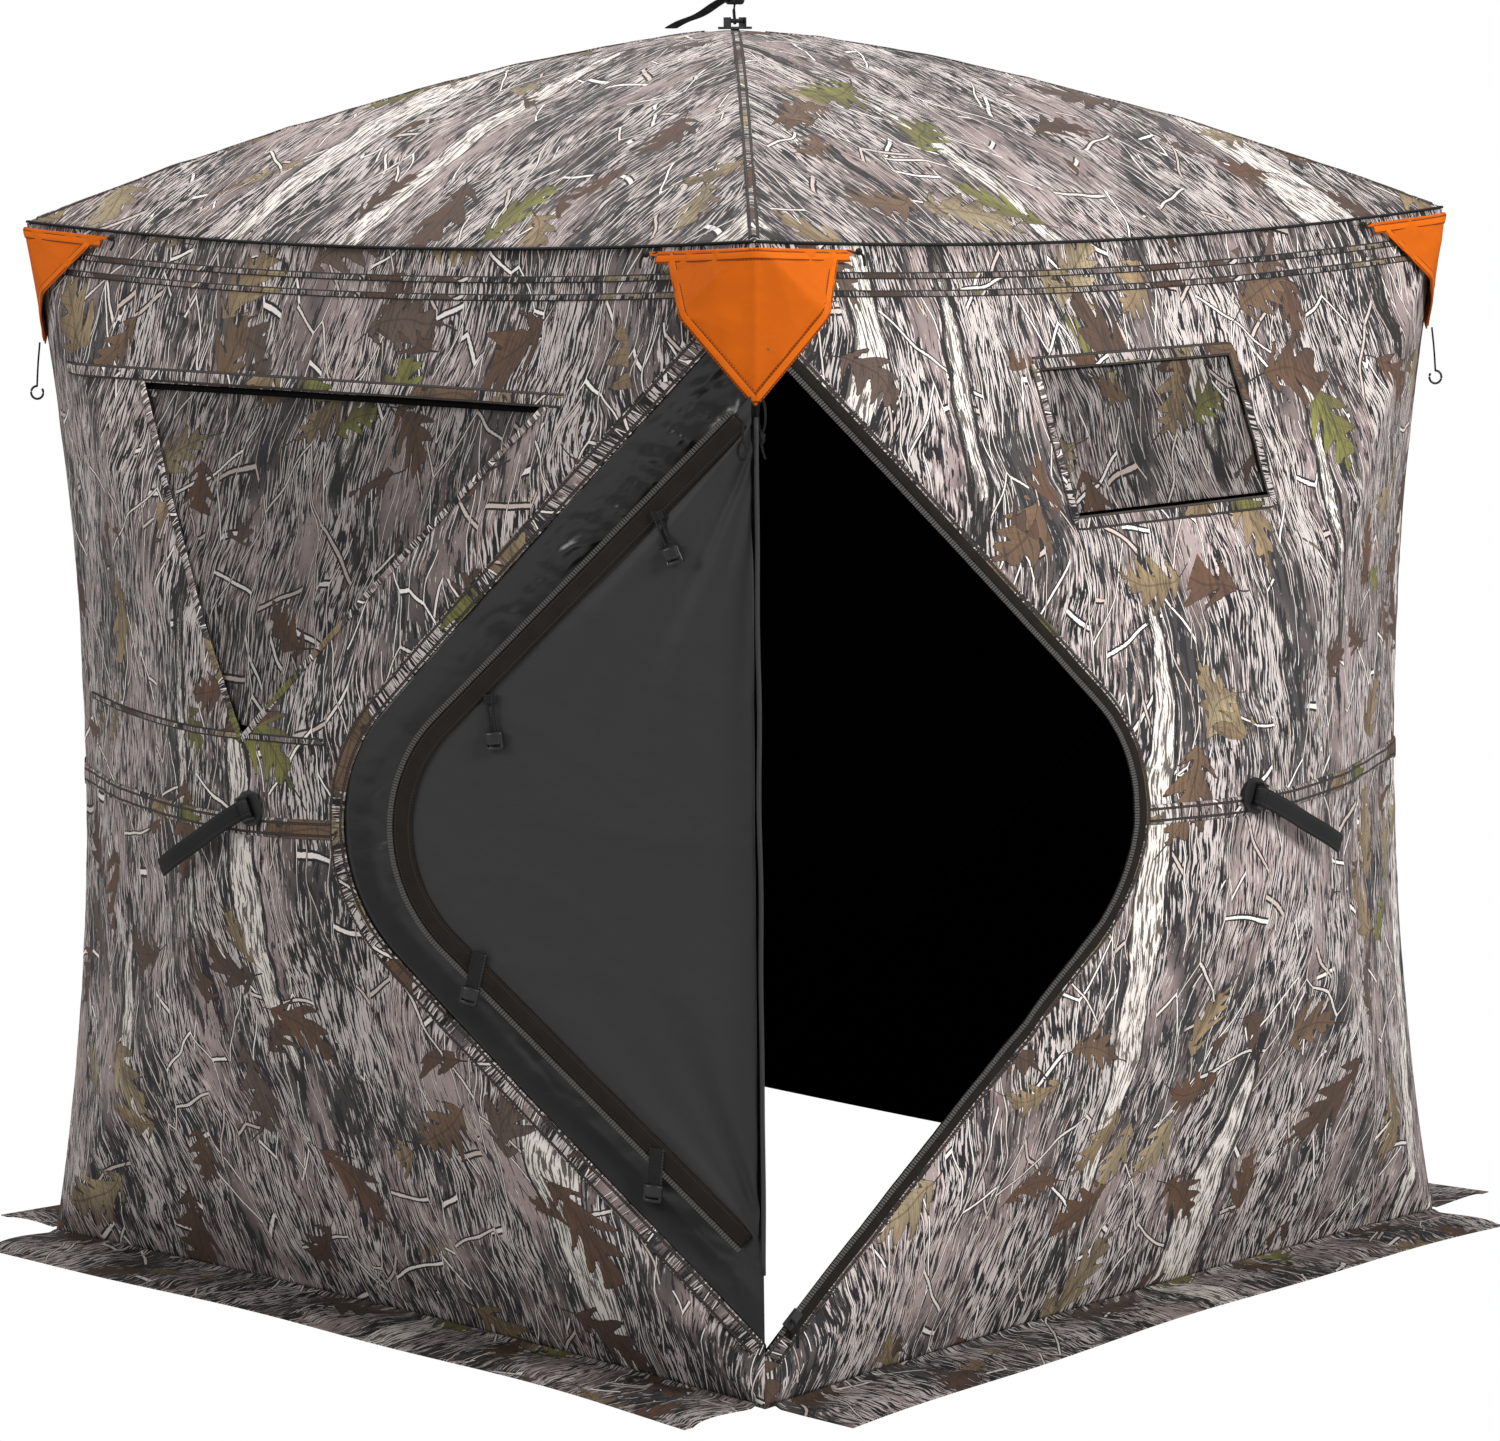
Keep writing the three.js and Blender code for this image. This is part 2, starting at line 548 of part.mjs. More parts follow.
walls.forEach(({ side, window: corners, door, strapTurn }, quarter) => {
  const wall = new THREE.Group();
  wall.rotation.z = (quarter * Math.PI) / 2;
  blind.add(wall);
  let fabric = wallSheet(0, -FABRIC).subtract(boltHole(wallPoint(0, 0, 0), true));
  fabric = fabric.subtract(grownOutline(corners, 0, 0));
  if (door) {
    fabric = fabric.subtract(door);
  }
  add(wall, `${side}_wall`, geometryOf(fabric), camoFabric);
  const flap = wallSheet(FLAP.outer, FLAP.inner).intersect(grownOutline(corners, FLAP.margin, FLAP.lowest));
  add(wall, `${side}_window_flap`, geometryOf(flap), camoFabric);
  const net = wallSheet(NET.outer, NET.inner).intersect(grownOutline(corners, NET.margin, NET.lowest));
  add(wall, `${side}_window_net`, geometryOf(net), blackNet);
  addHubSet(wall, side, wallPoint, outOfFront, strapTurn, WALL_STRAP_TAIL);
  if (side === 'front') {
    const fixed = wallSheet(0, -FABRIC).intersect(throughWall(doorOutline(FRONT_DOOR_EDGE, -PANEL_GAP, 1)));
    add(wall, 'door_fixed_panel', geometryOf(fixed), darkFabric);
    add(wall, 'door_leaf', makeLeaf(), darkFabric);
  }
  if (side === 'right') {
    add(wall, 'zipper_track', makeTrack(), zipTape);
    add(wall, 'zipper_slider', makeSlider(), zipMetal);
  }
});

const roof = roofSheet().subtract(boltHole(roofPoint(0, 0, 0), false));
add(blind, 'roof_panel', geometryOf(roof), camoFabric);
addHubSet(blind, 'roof', roofPoint, new THREE.Vector3(0, 0, 1), ROOF_STRAP_TURN, ROOF_STRAP_TAIL);
add(blind, 'ground_skirt', makeSkirt(), camoFabric);

const cornerNames = ['front_right', 'back_right', 'back_left', 'front_left'];
cornerNames.forEach((name, quarter) => {
  const corner = new THREE.Group();
  corner.rotation.z = (quarter * Math.PI) / 2;
  blind.add(corner);
  add(corner, `corner_cap_${name}`, makeCap(), orangeFabric);
  const socket = add(corner, `corner_socket_${name}`, makeSocket(), hubPlastic);
  socket.position.set(SOCKET.topX, -SOCKET.topX, SOCKET.topZ);
  const foot = add(corner, `corner_foot_${name}`, makeSocket(), hubPlastic);
  foot.position.set(SOCKET.footX, -SOCKET.footX, 0);
});

export default blind;
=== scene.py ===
"""A pop-up hub ground blind: camouflage cloth, dark linings, orange corner caps, webbing and
cords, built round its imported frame. Metres, +Z up; the walls are front (-Y), right (+X),
back and left, and the open door wraps the corner between the front and right walls."""

import json
import logging
import math
from dataclasses import dataclass
from enum import Enum
from typing import Callable, Optional, Sequence

import bmesh
import bpy
import numpy as np
from mathutils import Matrix, Vector

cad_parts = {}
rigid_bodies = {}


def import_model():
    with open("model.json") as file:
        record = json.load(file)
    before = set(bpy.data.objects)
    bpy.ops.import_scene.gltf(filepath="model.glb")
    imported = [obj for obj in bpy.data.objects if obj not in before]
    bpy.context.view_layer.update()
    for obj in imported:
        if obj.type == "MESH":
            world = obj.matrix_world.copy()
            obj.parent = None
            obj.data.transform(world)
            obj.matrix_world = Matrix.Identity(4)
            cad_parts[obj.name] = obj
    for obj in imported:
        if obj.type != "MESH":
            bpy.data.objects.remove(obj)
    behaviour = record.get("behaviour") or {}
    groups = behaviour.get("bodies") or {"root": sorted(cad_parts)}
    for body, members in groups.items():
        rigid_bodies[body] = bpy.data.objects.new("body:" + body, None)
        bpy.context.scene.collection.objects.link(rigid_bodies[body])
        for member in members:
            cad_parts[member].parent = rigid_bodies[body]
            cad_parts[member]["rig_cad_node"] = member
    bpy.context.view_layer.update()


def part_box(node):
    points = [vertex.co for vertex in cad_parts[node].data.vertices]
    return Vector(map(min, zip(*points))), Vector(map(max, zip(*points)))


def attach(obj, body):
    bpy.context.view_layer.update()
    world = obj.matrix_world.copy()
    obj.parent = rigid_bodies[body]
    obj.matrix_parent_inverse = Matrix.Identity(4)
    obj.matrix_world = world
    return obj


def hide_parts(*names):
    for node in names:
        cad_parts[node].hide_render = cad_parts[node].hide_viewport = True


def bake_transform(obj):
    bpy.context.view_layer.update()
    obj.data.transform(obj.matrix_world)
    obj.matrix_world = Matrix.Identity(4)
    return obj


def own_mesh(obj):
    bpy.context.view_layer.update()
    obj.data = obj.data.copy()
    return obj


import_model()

Array = np.ndarray
Surface = Callable[[Array, Array, Array], Array]
log = logging.getLogger("ground_blind")


# ---- Numbers that shape the cloth -------------------------------------------------------
class Side(Enum):
    """The four walls, in quarter turns from the front one."""

    FRONT = 0
    RIGHT = 1
    BACK = 2
    LEFT = 3

    @property
    def word(self) -> str:
        """The side's name as the bodies use it."""
        return self.name.lower()


@dataclass(frozen=True)
class Creases:
    """Soft creases in tight cloth: ridges where a few bent sine waves of random heading peak."""

    seed: int
    wavelength: float
    height: float
    heading: Optional[float] = None
    spread: float = math.pi
    count: int = 7

    def at(self, x: Array, z: Array) -> Array:
        """The height of the creases at plan places.

        Each wave is sin(k u + phase + bend), u along its heading; its ridge is one less the
        wave's size, cubed, and fades in and out across v.

        Args:
            x: places along the cloth.
            z: places up the cloth.

        Returns:
            The outward height at each place.
        """
        rng = np.random.default_rng(self.seed)
        middle = rng.uniform(0, math.pi) if self.heading is None else self.heading
        heading = middle + rng.uniform(-0.5, 0.5, self.count) * self.spread
        k = 2 * math.pi / (self.wavelength * rng.uniform(0.6, 1.7, self.count))
        phase = rng.uniform(0, 2 * math.pi, (3, self.count))
        u = x[..., None] * np.cos(heading) + z[..., None] * np.sin(heading)
        v = z[..., None] * np.cos(heading) - x[..., None] * np.sin(heading)
        bend = 1.4 * np.sin(0.31 * k * v + phase[1])
        ridge = 1 - np.abs(np.sin(0.5 * k * u + phase[0] + bend))
        fade = 0.5 + 0.5 * np.sin(0.23 * k * v + phase[2])
        return self.height * (ridge**3 * fade).sum(-1) / math.sqrt(self.count)


@dataclass(frozen=True)
class BlindForm:
    """The bulging shape of the walls and roof. A wall's outward bulge is 1 - m^power, with m
    the larger of the two distances from its hub, rounded a little where the rods lie."""

    half_side: float
    corner_height: float
    wall_bulge: float
    roof_rise: float
    ridge_power: float = 1.5
    corner_inset: float = 0.044
    roof_sag: float = 0.021
    base_bow: float = 0.022
    top_gap: float = 0.002
    ridge_round: float = 0.035

    @classmethod
    def from_frame(cls) -> "BlindForm":
        """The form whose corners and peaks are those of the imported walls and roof."""
        roof_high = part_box("roof_panel")[1]
        wall_low, wall_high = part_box("front_wall")
        corner_height = wall_high[2] + cls.top_gap
        bow_at_hub = cls.base_bow / 16
        bulge = -wall_low[1] - roof_high[0] + bow_at_hub
        return cls(roof_high[0], corner_height, bulge, roof_high[2] - corner_height)

    def _share(self, s: Array, t: Array) -> Array:
        """The larger of |s| and |t|, rounded where they are alike but exact at the edges."""
        a, b = np.abs(s), np.abs(t)
        rounding = self.ridge_round * (1 - np.maximum(a, b) ** 2)
        return 0.5 * (a + b + np.sqrt((a - b) ** 2 + rounding**2))

    def wall(self, s: Array, t: Array, lift: Array) -> Array:
        """Places on the front wall.

        Args:
            s: -1 to 1 from the left corner seam to the right one.
            t: -1 to 1 from the ground to the roof edge.
            lift: outward distance from the cloth's outer face.

        Returns:
            The places, with X, Y and Z last.
        """
        half = self.half_side - self.corner_inset * (1 - t * t)
        bulge = (self.wall_bulge + self.corner_inset) * (1 - self._share(s, t) ** self.ridge_power)
        bow = self.base_bow * (1 - s * s) * ((1 - t) / 2) ** 4
        top = self.corner_height - self.top_gap - self.roof_sag * (1 - s * s)
        out = half + bulge - bow + lift
        return np.stack([s * (half + lift), -out, (1 + t) / 2 * top], axis=-1)

    def wall_parameters(self, x: Array, z: Array) -> tuple[Array, Array]:
        """The s and t of plan places on a wall, by repeated correction."""
        s, t = x / self.half_side, np.zeros_like(z)
        for _ in range(9):
            t = 2 * z / (self.corner_height - self.top_gap - self.roof_sag * (1 - s * s)) - 1
            s = x / (self.half_side - self.corner_inset * (1 - t * t))
        return s, t

    def wall_at(self, x: Array, z: Array, lift: Array) -> Array:
        """Places on the front wall over plan places."""
        s, t = self.wall_parameters(x, z)
        return self.wall(np.clip(s, -1, 1), t, lift + 0 * x)

    def roof_at(self, x: Array, y: Array, lift: Array) -> Array:
        """Places on the roof over plan places."""
        s, t = x / self.half_side, y / self.half_side
        m = self._share(s, t)
        n = np.minimum(np.abs(s), np.abs(t))
        rise = self.roof_rise * (1 - m**self.ridge_power)
        sag = self.roof_sag * m * m * np.maximum(m * m - n * n, 0)
        return np.stack([x, y, self.corner_height + rise - sag + lift], axis=-1)


def turned(points: Array, quarter: int) -> Array:
    """Points turned about Z by quarter turns."""
    x, y, z = points[..., 0], points[..., 1], points[..., 2]
    for _ in range(quarter % 4):
        x, y = -y, x
    return np.stack([x, y, z], axis=-1)


# ---- Outlines of openings ---------------------------------------------------------------
@dataclass(frozen=True)
class DoorOutline:
    """A door half: two straight edges that meet the corner seam on +X, joined by a round nose
    towards the hub. hand is -1 for the mirrored half on the right wall."""

    x: float
    z: float
    radius: float
    rise: float
    fall: float
    hand: int = 1

    def distance(self, x: Array, z: Array) -> tuple[Array, Array, Array]:
        """The distance outside the door, and its direction, at plan places.

        Past the nose's middle, towards the corner, it is the distance to the nearer straight
        edge; behind it, the distance to the nose's circle.
        """
        qx, qz = self.hand * x - self.x, z - self.z
        up, down = math.radians(self.rise), math.radians(self.fall)
        above = qx * math.cos(up) + qz * math.sin(up) > 0
        below = qx * math.cos(down) - qz * math.sin(down) > 0
        far_up = -qx * math.sin(up) + qz * math.cos(up)
        far_down = -qx * math.sin(down) - qz * math.cos(down)
        round_far = np.hypot(qx, qz) + 1e-9
        use_up = above & (~below | (far_up > far_down))
        use_down = below & ~use_up
        far = np.where(use_up, far_up, np.where(use_down, far_down, round_far))
        nx = np.where(use_up, -math.sin(up), np.where(use_down, -math.sin(down), qx / round_far))
        nz = np.where(use_up, math.cos(up), np.where(use_down, -math.cos(down), qz / round_far))
        return far - self.radius, self.hand * nx, nz

    def curve(self, corner_x: float, grow: float = 0.0, spacing: float = 0.006) -> Array:
        """Even plan points along the edge from its top end to its bottom end.

        Args:
            corner_x: how far the straight edges run towards the corner.
            grow: outward offset of the whole edge.
            spacing: distance between points.

        Returns:
            The points, one row each.
        """
        up, down = math.radians(self.rise), math.radians(self.fall)
        radius = self.radius + grow
        nose = np.linspace(math.pi / 2 + up, 3 * math.pi / 2 - down, 60)
        arc = np.stack([self.x + radius * np.cos(nose), self.z + radius * np.sin(nose)], -1)
        first = [corner_x, arc[0, 1] + (corner_x - arc[0, 0]) * math.tan(up)]
        last = [corner_x, arc[-1, 1] - (corner_x - arc[-1, 0]) * math.tan(down)]
        points = resampled(np.vstack([[first], arc, [last]]), spacing)
        return points * [self.hand, 1]


@dataclass(frozen=True)
class PolygonOutline:
    """A straight-sided opening, its corners running anticlockwise in X and Z."""

    corners: tuple[tuple[float, float], ...]

    def distance(self, x: Array, z: Array) -> tuple[Array, Array, Array]:
        """The distance outside the opening, and its direction, from its farthest edge line."""
        points = np.array(self.corners)
        edge = np.roll(points, -1, axis=0) - points
        normal = np.stack([edge[:, 1], -edge[:, 0]], -1) / np.linalg.norm(edge, axis=1)[:, None]
        far = (x[..., None] - points[:, 0]) * normal[:, 0] + (z[..., None] - points[:, 1]) * normal[:, 1]
        which = far.argmax(-1)
        return far.max(-1), normal[which, 0], normal[which, 1]

    def loop(self, spacing: float = 0.008) -> Array:
        """Even plan points once round the opening."""
        points = np.array(self.corners)
        return resampled(np.vstack([points, points[:1]]), spacing)


def resampled(points: Array, spacing: float) -> Array:
    """A polyline's points laid out again at an even spacing, with both ends kept."""
    count = max(int(round(arc_lengths(points)[-1] / spacing)), 2) + 1
    return evened(points, count)


def evened(points: Array, count: int) -> Array:
    """A number of evenly spaced points along a polyline, with both ends kept."""
    along = arc_lengths(points)
    wanted = np.linspace(0, along[-1], count)
    return np.stack([np.interp(wanted, along, column) for column in points.T], -1)


def arc_lengths(points: Array) -> Array:
    """Distance along a polyline at each of its points."""
    step = np.linalg.norm(np.diff(points, axis=0), axis=1)
    return np.concatenate([[0], np.cumsum(step)])


def headings(points: Array) -> Array:
    """The unit direction of a polyline at each of its points."""
    heading = np.gradient(points, axis=0)
    return heading / np.linalg.norm(heading, axis=1)[:, None]


def leftwards(heading: Array) -> Array:
    """Plan directions turned a quarter turn to their left."""
    return np.stack([-heading[:, 1], heading[:, 0]], -1)


# ---- Meshes -----------------------------------------------------------------------------
def grid_faces(rows: int, columns: int, wrap: bool = False) -> Array:
    """The four-sided faces of a grid of points, row by row; wrap joins the last column to the
    first."""
    i, j = np.meshgrid(np.arange(rows - 1), np.arange(columns if wrap else columns - 1), indexing="ij")
    k = (j + 1) % columns
    a, b = i * columns + j, i * columns + k
    c, d = (i + 1) * columns + k, (i + 1) * columns + j
    return np.stack([a, b, c, d], -1).reshape(-1, 4)


def mesh_piece(
    name: str,
    points: Array,
    faces: Sequence[Sequence[int]],
    uv: Optional[Array] = None,
    materials: Sequence[bpy.types.Material] = (),
    closed: bool = False,
    smooth: bool = True,
) -> bpy.types.Object:
    """A mesh object at the origin.

    Args:
        name: the object's name.
        points: its vertices.
        faces: vertex numbers of each face.
        uv: a place in the pattern, in metres, for each vertex or for each face corner.
        materials: its finishes.
        closed: whether it is a closed shape, whose faces are then turned outwards.
        smooth: whether it shades smoothly.

    Returns:
        The new object.
    """
    points = np.asarray(points, float).reshape(-1, 3)
    lists = [list(map(int, face)) for face in faces]
    used = np.unique(np.concatenate([np.asarray(face) for face in lists]))
    renumber = np.full(len(points), -1)
    renumber[used] = np.arange(len(used))
    mesh = bpy.data.meshes.new(name)
    mesh.from_pydata(points[used].tolist(), [], [renumber[face].tolist() for face in lists])
    if uv is not None:
        corners = np.concatenate([np.asarray(face) for face in lists])
        flat = np.asarray(uv, float).reshape(-1, 2)
        values = flat[corners] if len(flat) == len(points) else flat
        layer = mesh.uv_layers.new(name="Pattern")
        layer.data.foreach_set("uv", values.astype(np.float32).ravel())
    for material in materials:
        mesh.materials.append(material)
    mesh.polygons.foreach_set("use_smooth", np.full(len(mesh.polygons), smooth))
    mesh.update()
    if closed:
        turn_outwards(mesh)
    piece = bpy.data.objects.new(name, mesh)
    bpy.context.scene.collection.objects.link(piece)
    return piece


def turn_outwards(mesh: bpy.types.Mesh, merge: bool = False) -> None:
    """Turns a closed mesh's faces outwards, after joining its doubled points if asked."""
    shape = bmesh.new()
    shape.from_mesh(mesh)
    if merge:
        bmesh.ops.remove_doubles(shape, verts=shape.verts, dist=1e-6)
    bmesh.ops.recalc_face_normals(shape, faces=shape.faces)
    shape.to_mesh(mesh)
    shape.free()


@dataclass
class Strip:
    """Points, faces and pattern places of one closed or open swept shape."""

    points: Array
    faces: list
    uv: Array


def swept(rows: Array, wrap: bool, along: Array, across: Array) -> Strip:
    """A strip from a grid of points: one row per place along a path, one column per profile
    point, closed with flat ends where the profile wraps."""
    count, width = rows.shape[:2]
    faces = grid_faces(count, width, wrap).tolist()
    if wrap:
        faces.append(list(range(width)))
        faces.append(list(range((count - 1) * width, count * width))[::-1])
    uv = np.stack(np.broadcast_arrays(along[:, None], across[None, :]), -1)
    return Strip(rows.reshape(-1, 3), faces, uv.reshape(-1, 2))


def joined(strips: Sequence[Strip]) -> Strip:
    """Several strips as one."""
    offset, faces = 0, []
    for strip in strips:
        faces += [[index + offset for index in face] for face in strip.faces]
        offset += len(strip.points)
    return Strip(np.vstack([s.points for s in strips]), faces, np.vstack([s.uv for s in strips]))


def tape_profile(width: float, height: float, sink: float = 0.0006) -> Array:
    """A flat band's cross-section, across and out: soft shoulders and a slightly full middle."""
    half, shoulder = width / 2, min(width * 0.12, 0.003)
    return np.array([
        [-half, 0.0], [-half + shoulder * 0.4, height * 0.7], [-half + shoulder, height],
        [0, height * 1.12], [half - shoulder, height], [half - shoulder * 0.4, height * 0.7],
        [half, 0.0], [half - shoulder, -sink], [0, -sink], [-half + shoulder, -sink],
    ])


def band_on(surface: Surface, path: Array, profile: Array, lift: float = 0.0) -> Strip:
    """A band laid along a plan path on a bulging surface.

    Each profile point goes across the path by its first number and out by its second.

    Args:
        surface: gives places for plan X, plan Z and lift.
        path: plan points.
        profile: the band's cross-section.
        lift: outward distance of the whole band.

    Returns:
        The closed band.
    """
    sideways = leftwards(headings(path))
    plan = path[:, None, :] + profile[None, :, :1] * sideways[:, None, :]
    out = np.broadcast_to(profile[None, :, 1] + lift, plan.shape[:2])
    rows = surface(plan[..., 0], plan[..., 1], out)
    return swept(rows, True, arc_lengths(path), profile[:, 0])


def tube(path: Array, radius: float | Array, sides: int = 10, up: Sequence[float] = (0, 0, 1)) -> Strip:
    """A round cord along a path in space: circles square to the path, with rounded-off ends."""
    path = np.asarray(path, float)
    tangent = headings(path)
    side = np.cross(tangent, np.asarray(up, float))
    weak = np.linalg.norm(side, axis=1) < 0.15
    side[weak] = np.cross(tangent[weak], [0.31, 0.95, 0.02])
    side /= np.linalg.norm(side, axis=1)[:, None]
    other = np.cross(side, tangent)
    angle = np.linspace(0, 2 * math.pi, sides, endpoint=False)
    size = np.broadcast_to(radius, len(path)).astype(float)[:, None, None]
    ring = np.cos(angle)[None, :, None] * side[:, None] + np.sin(angle)[None, :, None] * other[:, None]
    rows = path[:, None] + size * ring
    return swept(rows, True, arc_lengths(path), angle * float(np.max(radius)))


def smooth_path(points: Sequence[Sequence[float]], count: int) -> Array:
    """A smooth curve through points (Catmull-Rom), as evenly spaced points."""
    p = np.asarray(points, float)
    p = np.vstack([2 * p[0] - p[1], p, 2 * p[-1] - p[-2]])
    u = np.linspace(0, 1, 12, endpoint=False)[:, None]
    parts = []
    for a, b, c, d in zip(p[:-3], p[1:-2], p[2:-1], p[3:]):
        parts.append(0.5 * (2 * b + (c - a) * u + (2 * a - 5 * b + 4 * c - d) * u**2
                            + (3 * b - a - 3 * c + d) * u**3))
    return evened(np.vstack([*parts, p[-2:-1]]), count)


def thicken(piece: bpy.types.Object, thickness: float, two_sided: bool = False) -> None:
    """Gives a cloth sheet its thickness inwards, with its second finish on the inside."""
    wall = piece.modifiers.new("Cloth thickness", "SOLIDIFY")
    wall.thickness = thickness
    wall.offset = -1
    wall.material_offset = 1 if two_sided else 0


def settle(piece: bpy.types.Object) -> float:
    """Bakes a sheet's modifiers into its mesh.

    Args:
        piece: the sheet.

    Returns:
        The area of one side of it, in square metres.
    """
    graph = bpy.context.evaluated_depsgraph_get()
    piece.data = bpy.data.meshes.new_from_object(piece.evaluated_get(graph), depsgraph=graph)
    piece.modifiers.clear()
    area = np.empty(len(piece.data.polygons), np.float32)
    piece.data.polygons.foreach_get("area", area)
    return float(area.sum()) / 2


# ---- Finishes ---------------------------------------------------------------------------
Link = bpy.types.NodeSocket
Color = tuple[float, float, float]


class Graph:
    """Adds nodes to one shader tree."""

    def __init__(self, tree: bpy.types.NodeTree):
        self.tree = tree

    def node(self, kind: str, inputs: Optional[dict] = None, **settings) -> bpy.types.Node:
        """A node with its settings, and its inputs linked or set."""
        made = self.tree.nodes.new(kind)
        for name, value in settings.items():
            setattr(made, name, value)
        for key, value in (inputs or {}).items():
            if isinstance(value, Link):
                self.tree.links.new(value, made.inputs[key])
            else:
                made.inputs[key].default_value = value
        return made

    def math(self, operation: str, *values: Link | float) -> Link:
        """One Math node's result."""
        inputs = dict(enumerate(values))
        return self.node("ShaderNodeMath", inputs, operation=operation).outputs[0]

    def below(self, value: Link, limit: Link | float) -> Link:
        """1 where the value is less than the limit."""
        return self.math("LESS_THAN", value, limit)

    def above(self, value: Link, limit: Link | float) -> Link:
        """1 where the value is more than the limit."""
        return self.math("GREATER_THAN", value, limit)

    def times(self, first: Link | float, second: Link | float) -> Link:
        """The product of two values."""
        return self.math("MULTIPLY", first, second)

    def less(self, first: Link | float, second: Link | float) -> Link:
        """The first value less the second."""
        return self.math("SUBTRACT", first, second)

    def scaled(self, value: Link, factor: Link | float, added: Link | float) -> Link:
        """A value times a factor, plus another value."""
        return self.math("MULTIPLY_ADD", value, factor, added)

    def noise(self, vector: Link, scale: float, detail: float = 3.0, rough: float = 0.55) -> bpy.types.Node:
        """A flat noise."""
        inputs = {"Vector": vector, "Scale": scale, "Detail": detail, "Roughness": rough}
        return self.node("ShaderNodeTexNoise", inputs, noise_dimensions="2D")

    def stretched(self, vector: Link, scale: tuple[float, float], turn: float = 0.0) -> Link:
        """The vector scaled by different amounts along two turned axes."""
        inputs = {"Vector": vector, "Rotation": (0, 0, turn), "Scale": (*scale, 1)}
        return self.node("ShaderNodeMapping", inputs).outputs[0]

    def mix(self, share: Link | float, first: Link | Color, second: Link | Color) -> Link:
        """A colour between two."""
        inputs = {0: share, 6: self.full(first), 7: self.full(second)}
        return self.node("ShaderNodeMix", inputs, data_type="RGBA").outputs[2]

    def ramp(self, value: Link, stops: Sequence[tuple[float, Color]], steps: bool = False) -> Link:
        """A colour ramp."""
        made = self.node("ShaderNodeValToRGB", {0: value})
        made.color_ramp.interpolation = "CONSTANT" if steps else "LINEAR"
        elements = made.color_ramp.elements
        while len(elements) < len(stops):
            elements.new(0.5)
        for element, (place, color) in zip(elements, stops):
            element.position = place
            element.color = (*color, 1)
        return made.outputs[0]

    @staticmethod
    def full(color: Link | Color) -> Link | tuple:
        """A colour with its alpha, or the link itself."""
        return color if isinstance(color, Link) else (*color, 1)


@dataclass(frozen=True)
class SharedEffect:
    """A node group with named inputs and outputs, built once."""

    name: str
    inputs: tuple[tuple[str, str, Optional[float]], ...]
    outputs: tuple[tuple[str, str], ...]
    build: Callable[[Graph, bpy.types.Node], dict]

    def tree(self) -> bpy.types.NodeTree:
        """The group, made the first time it is asked for."""
        if self.name in bpy.data.node_groups:
            return bpy.data.node_groups[self.name]
        tree = bpy.data.node_groups.new(self.name, "ShaderNodeTree")
        for label, kind, default in self.inputs:
            socket = tree.interface.new_socket(label, in_out="INPUT", socket_type=kind)
            if default is not None:
                socket.default_value = default
        for label, kind in self.outputs:
            tree.interface.new_socket(label, in_out="OUTPUT", socket_type=kind)
        graph = Graph(tree)
        entry = graph.node("NodeGroupInput")
        graph.node("NodeGroupOutput", self.build(graph, entry))
        return tree

    def used(self, graph: Graph, **inputs) -> bpy.types.Node:
        """A use of the group in a tree."""
        made = graph.node("ShaderNodeGroup", node_tree=self.tree())
        for label, value in inputs.items():
            if isinstance(value, Link):
                graph.tree.links.new(value, made.inputs[label])
            else:
                made.inputs[label].default_value = value
        return made


def build_leaf_layer(graph: Graph, entry: bpy.types.Node) -> dict:
    """One lobed leaf per random cell, turned at random and bent a little.

    Half width at u along the leaf: 0.62 (1 - u^2) (0.66 + 0.34 cos 13u) leaf half lengths, with
    a ragged edge.
    """
    cells = {"Vector": entry.outputs["Vector"], "Scale": entry.outputs["Density"], "Randomness": 0.9}
    voronoi = graph.node("ShaderNodeTexVoronoi", cells, voronoi_dimensions="2D")
    pick = graph.node("ShaderNodeSeparateColor", {0: voronoi.outputs["Color"]})
    inputs = {0: entry.outputs["Vector"], 1: voronoi.outputs["Position"]}
    local = graph.node("ShaderNodeVectorMath", inputs, operation="SUBTRACT").outputs[0]
    angle = graph.times(pick.outputs[0], 6.283)
    turn = {"Vector": local, "Angle": angle}
    spun = graph.node("ShaderNodeVectorRotate", turn, rotation_type="Z_AXIS").outputs[0]
    parts = graph.node("ShaderNodeSeparateXYZ", {0: spun})
    size = graph.times(entry.outputs["Size"], graph.scaled(pick.outputs[2], 0.5, 0.65))
    u = graph.math("DIVIDE", parts.outputs[0], size)
    bowed = graph.scaled(graph.times(u, u), 0.22, graph.math("DIVIDE", parts.outputs[1], size))
    v = graph.math("ABSOLUTE", bowed)
    taper = graph.times(graph.less(1.0, graph.times(u, u)), 0.62)
    lobes = graph.scaled(graph.math("COSINE", graph.times(graph.less(u, v), 13.0)), 0.34, 0.66)
    ragged = graph.noise(entry.outputs["Vector"], 95.0, 2.0).outputs[0]
    edge = graph.less(graph.times(taper, lobes), v)
    edge = graph.scaled(graph.less(ragged, 0.5), 0.22, edge)
    side_vein = graph.math("SINE", graph.times(graph.less(u, v), 40.0))
    vein = graph.math("MAXIMUM", graph.below(v, 0.02), graph.above(side_vein, 0.965))
    stalk = graph.times(graph.below(v, 0.018), graph.below(graph.math("ABSOLUTE", u), 1.35))
    mask = graph.math("MAXIMUM", graph.above(edge, 0.0), stalk)
    return {"Mask": mask, "Outline": graph.below(edge, 0.03), "Vein": vein, "Tone": pick.outputs[1],
            "Shade": graph.scaled(bowed, 0.9, 0.5)}


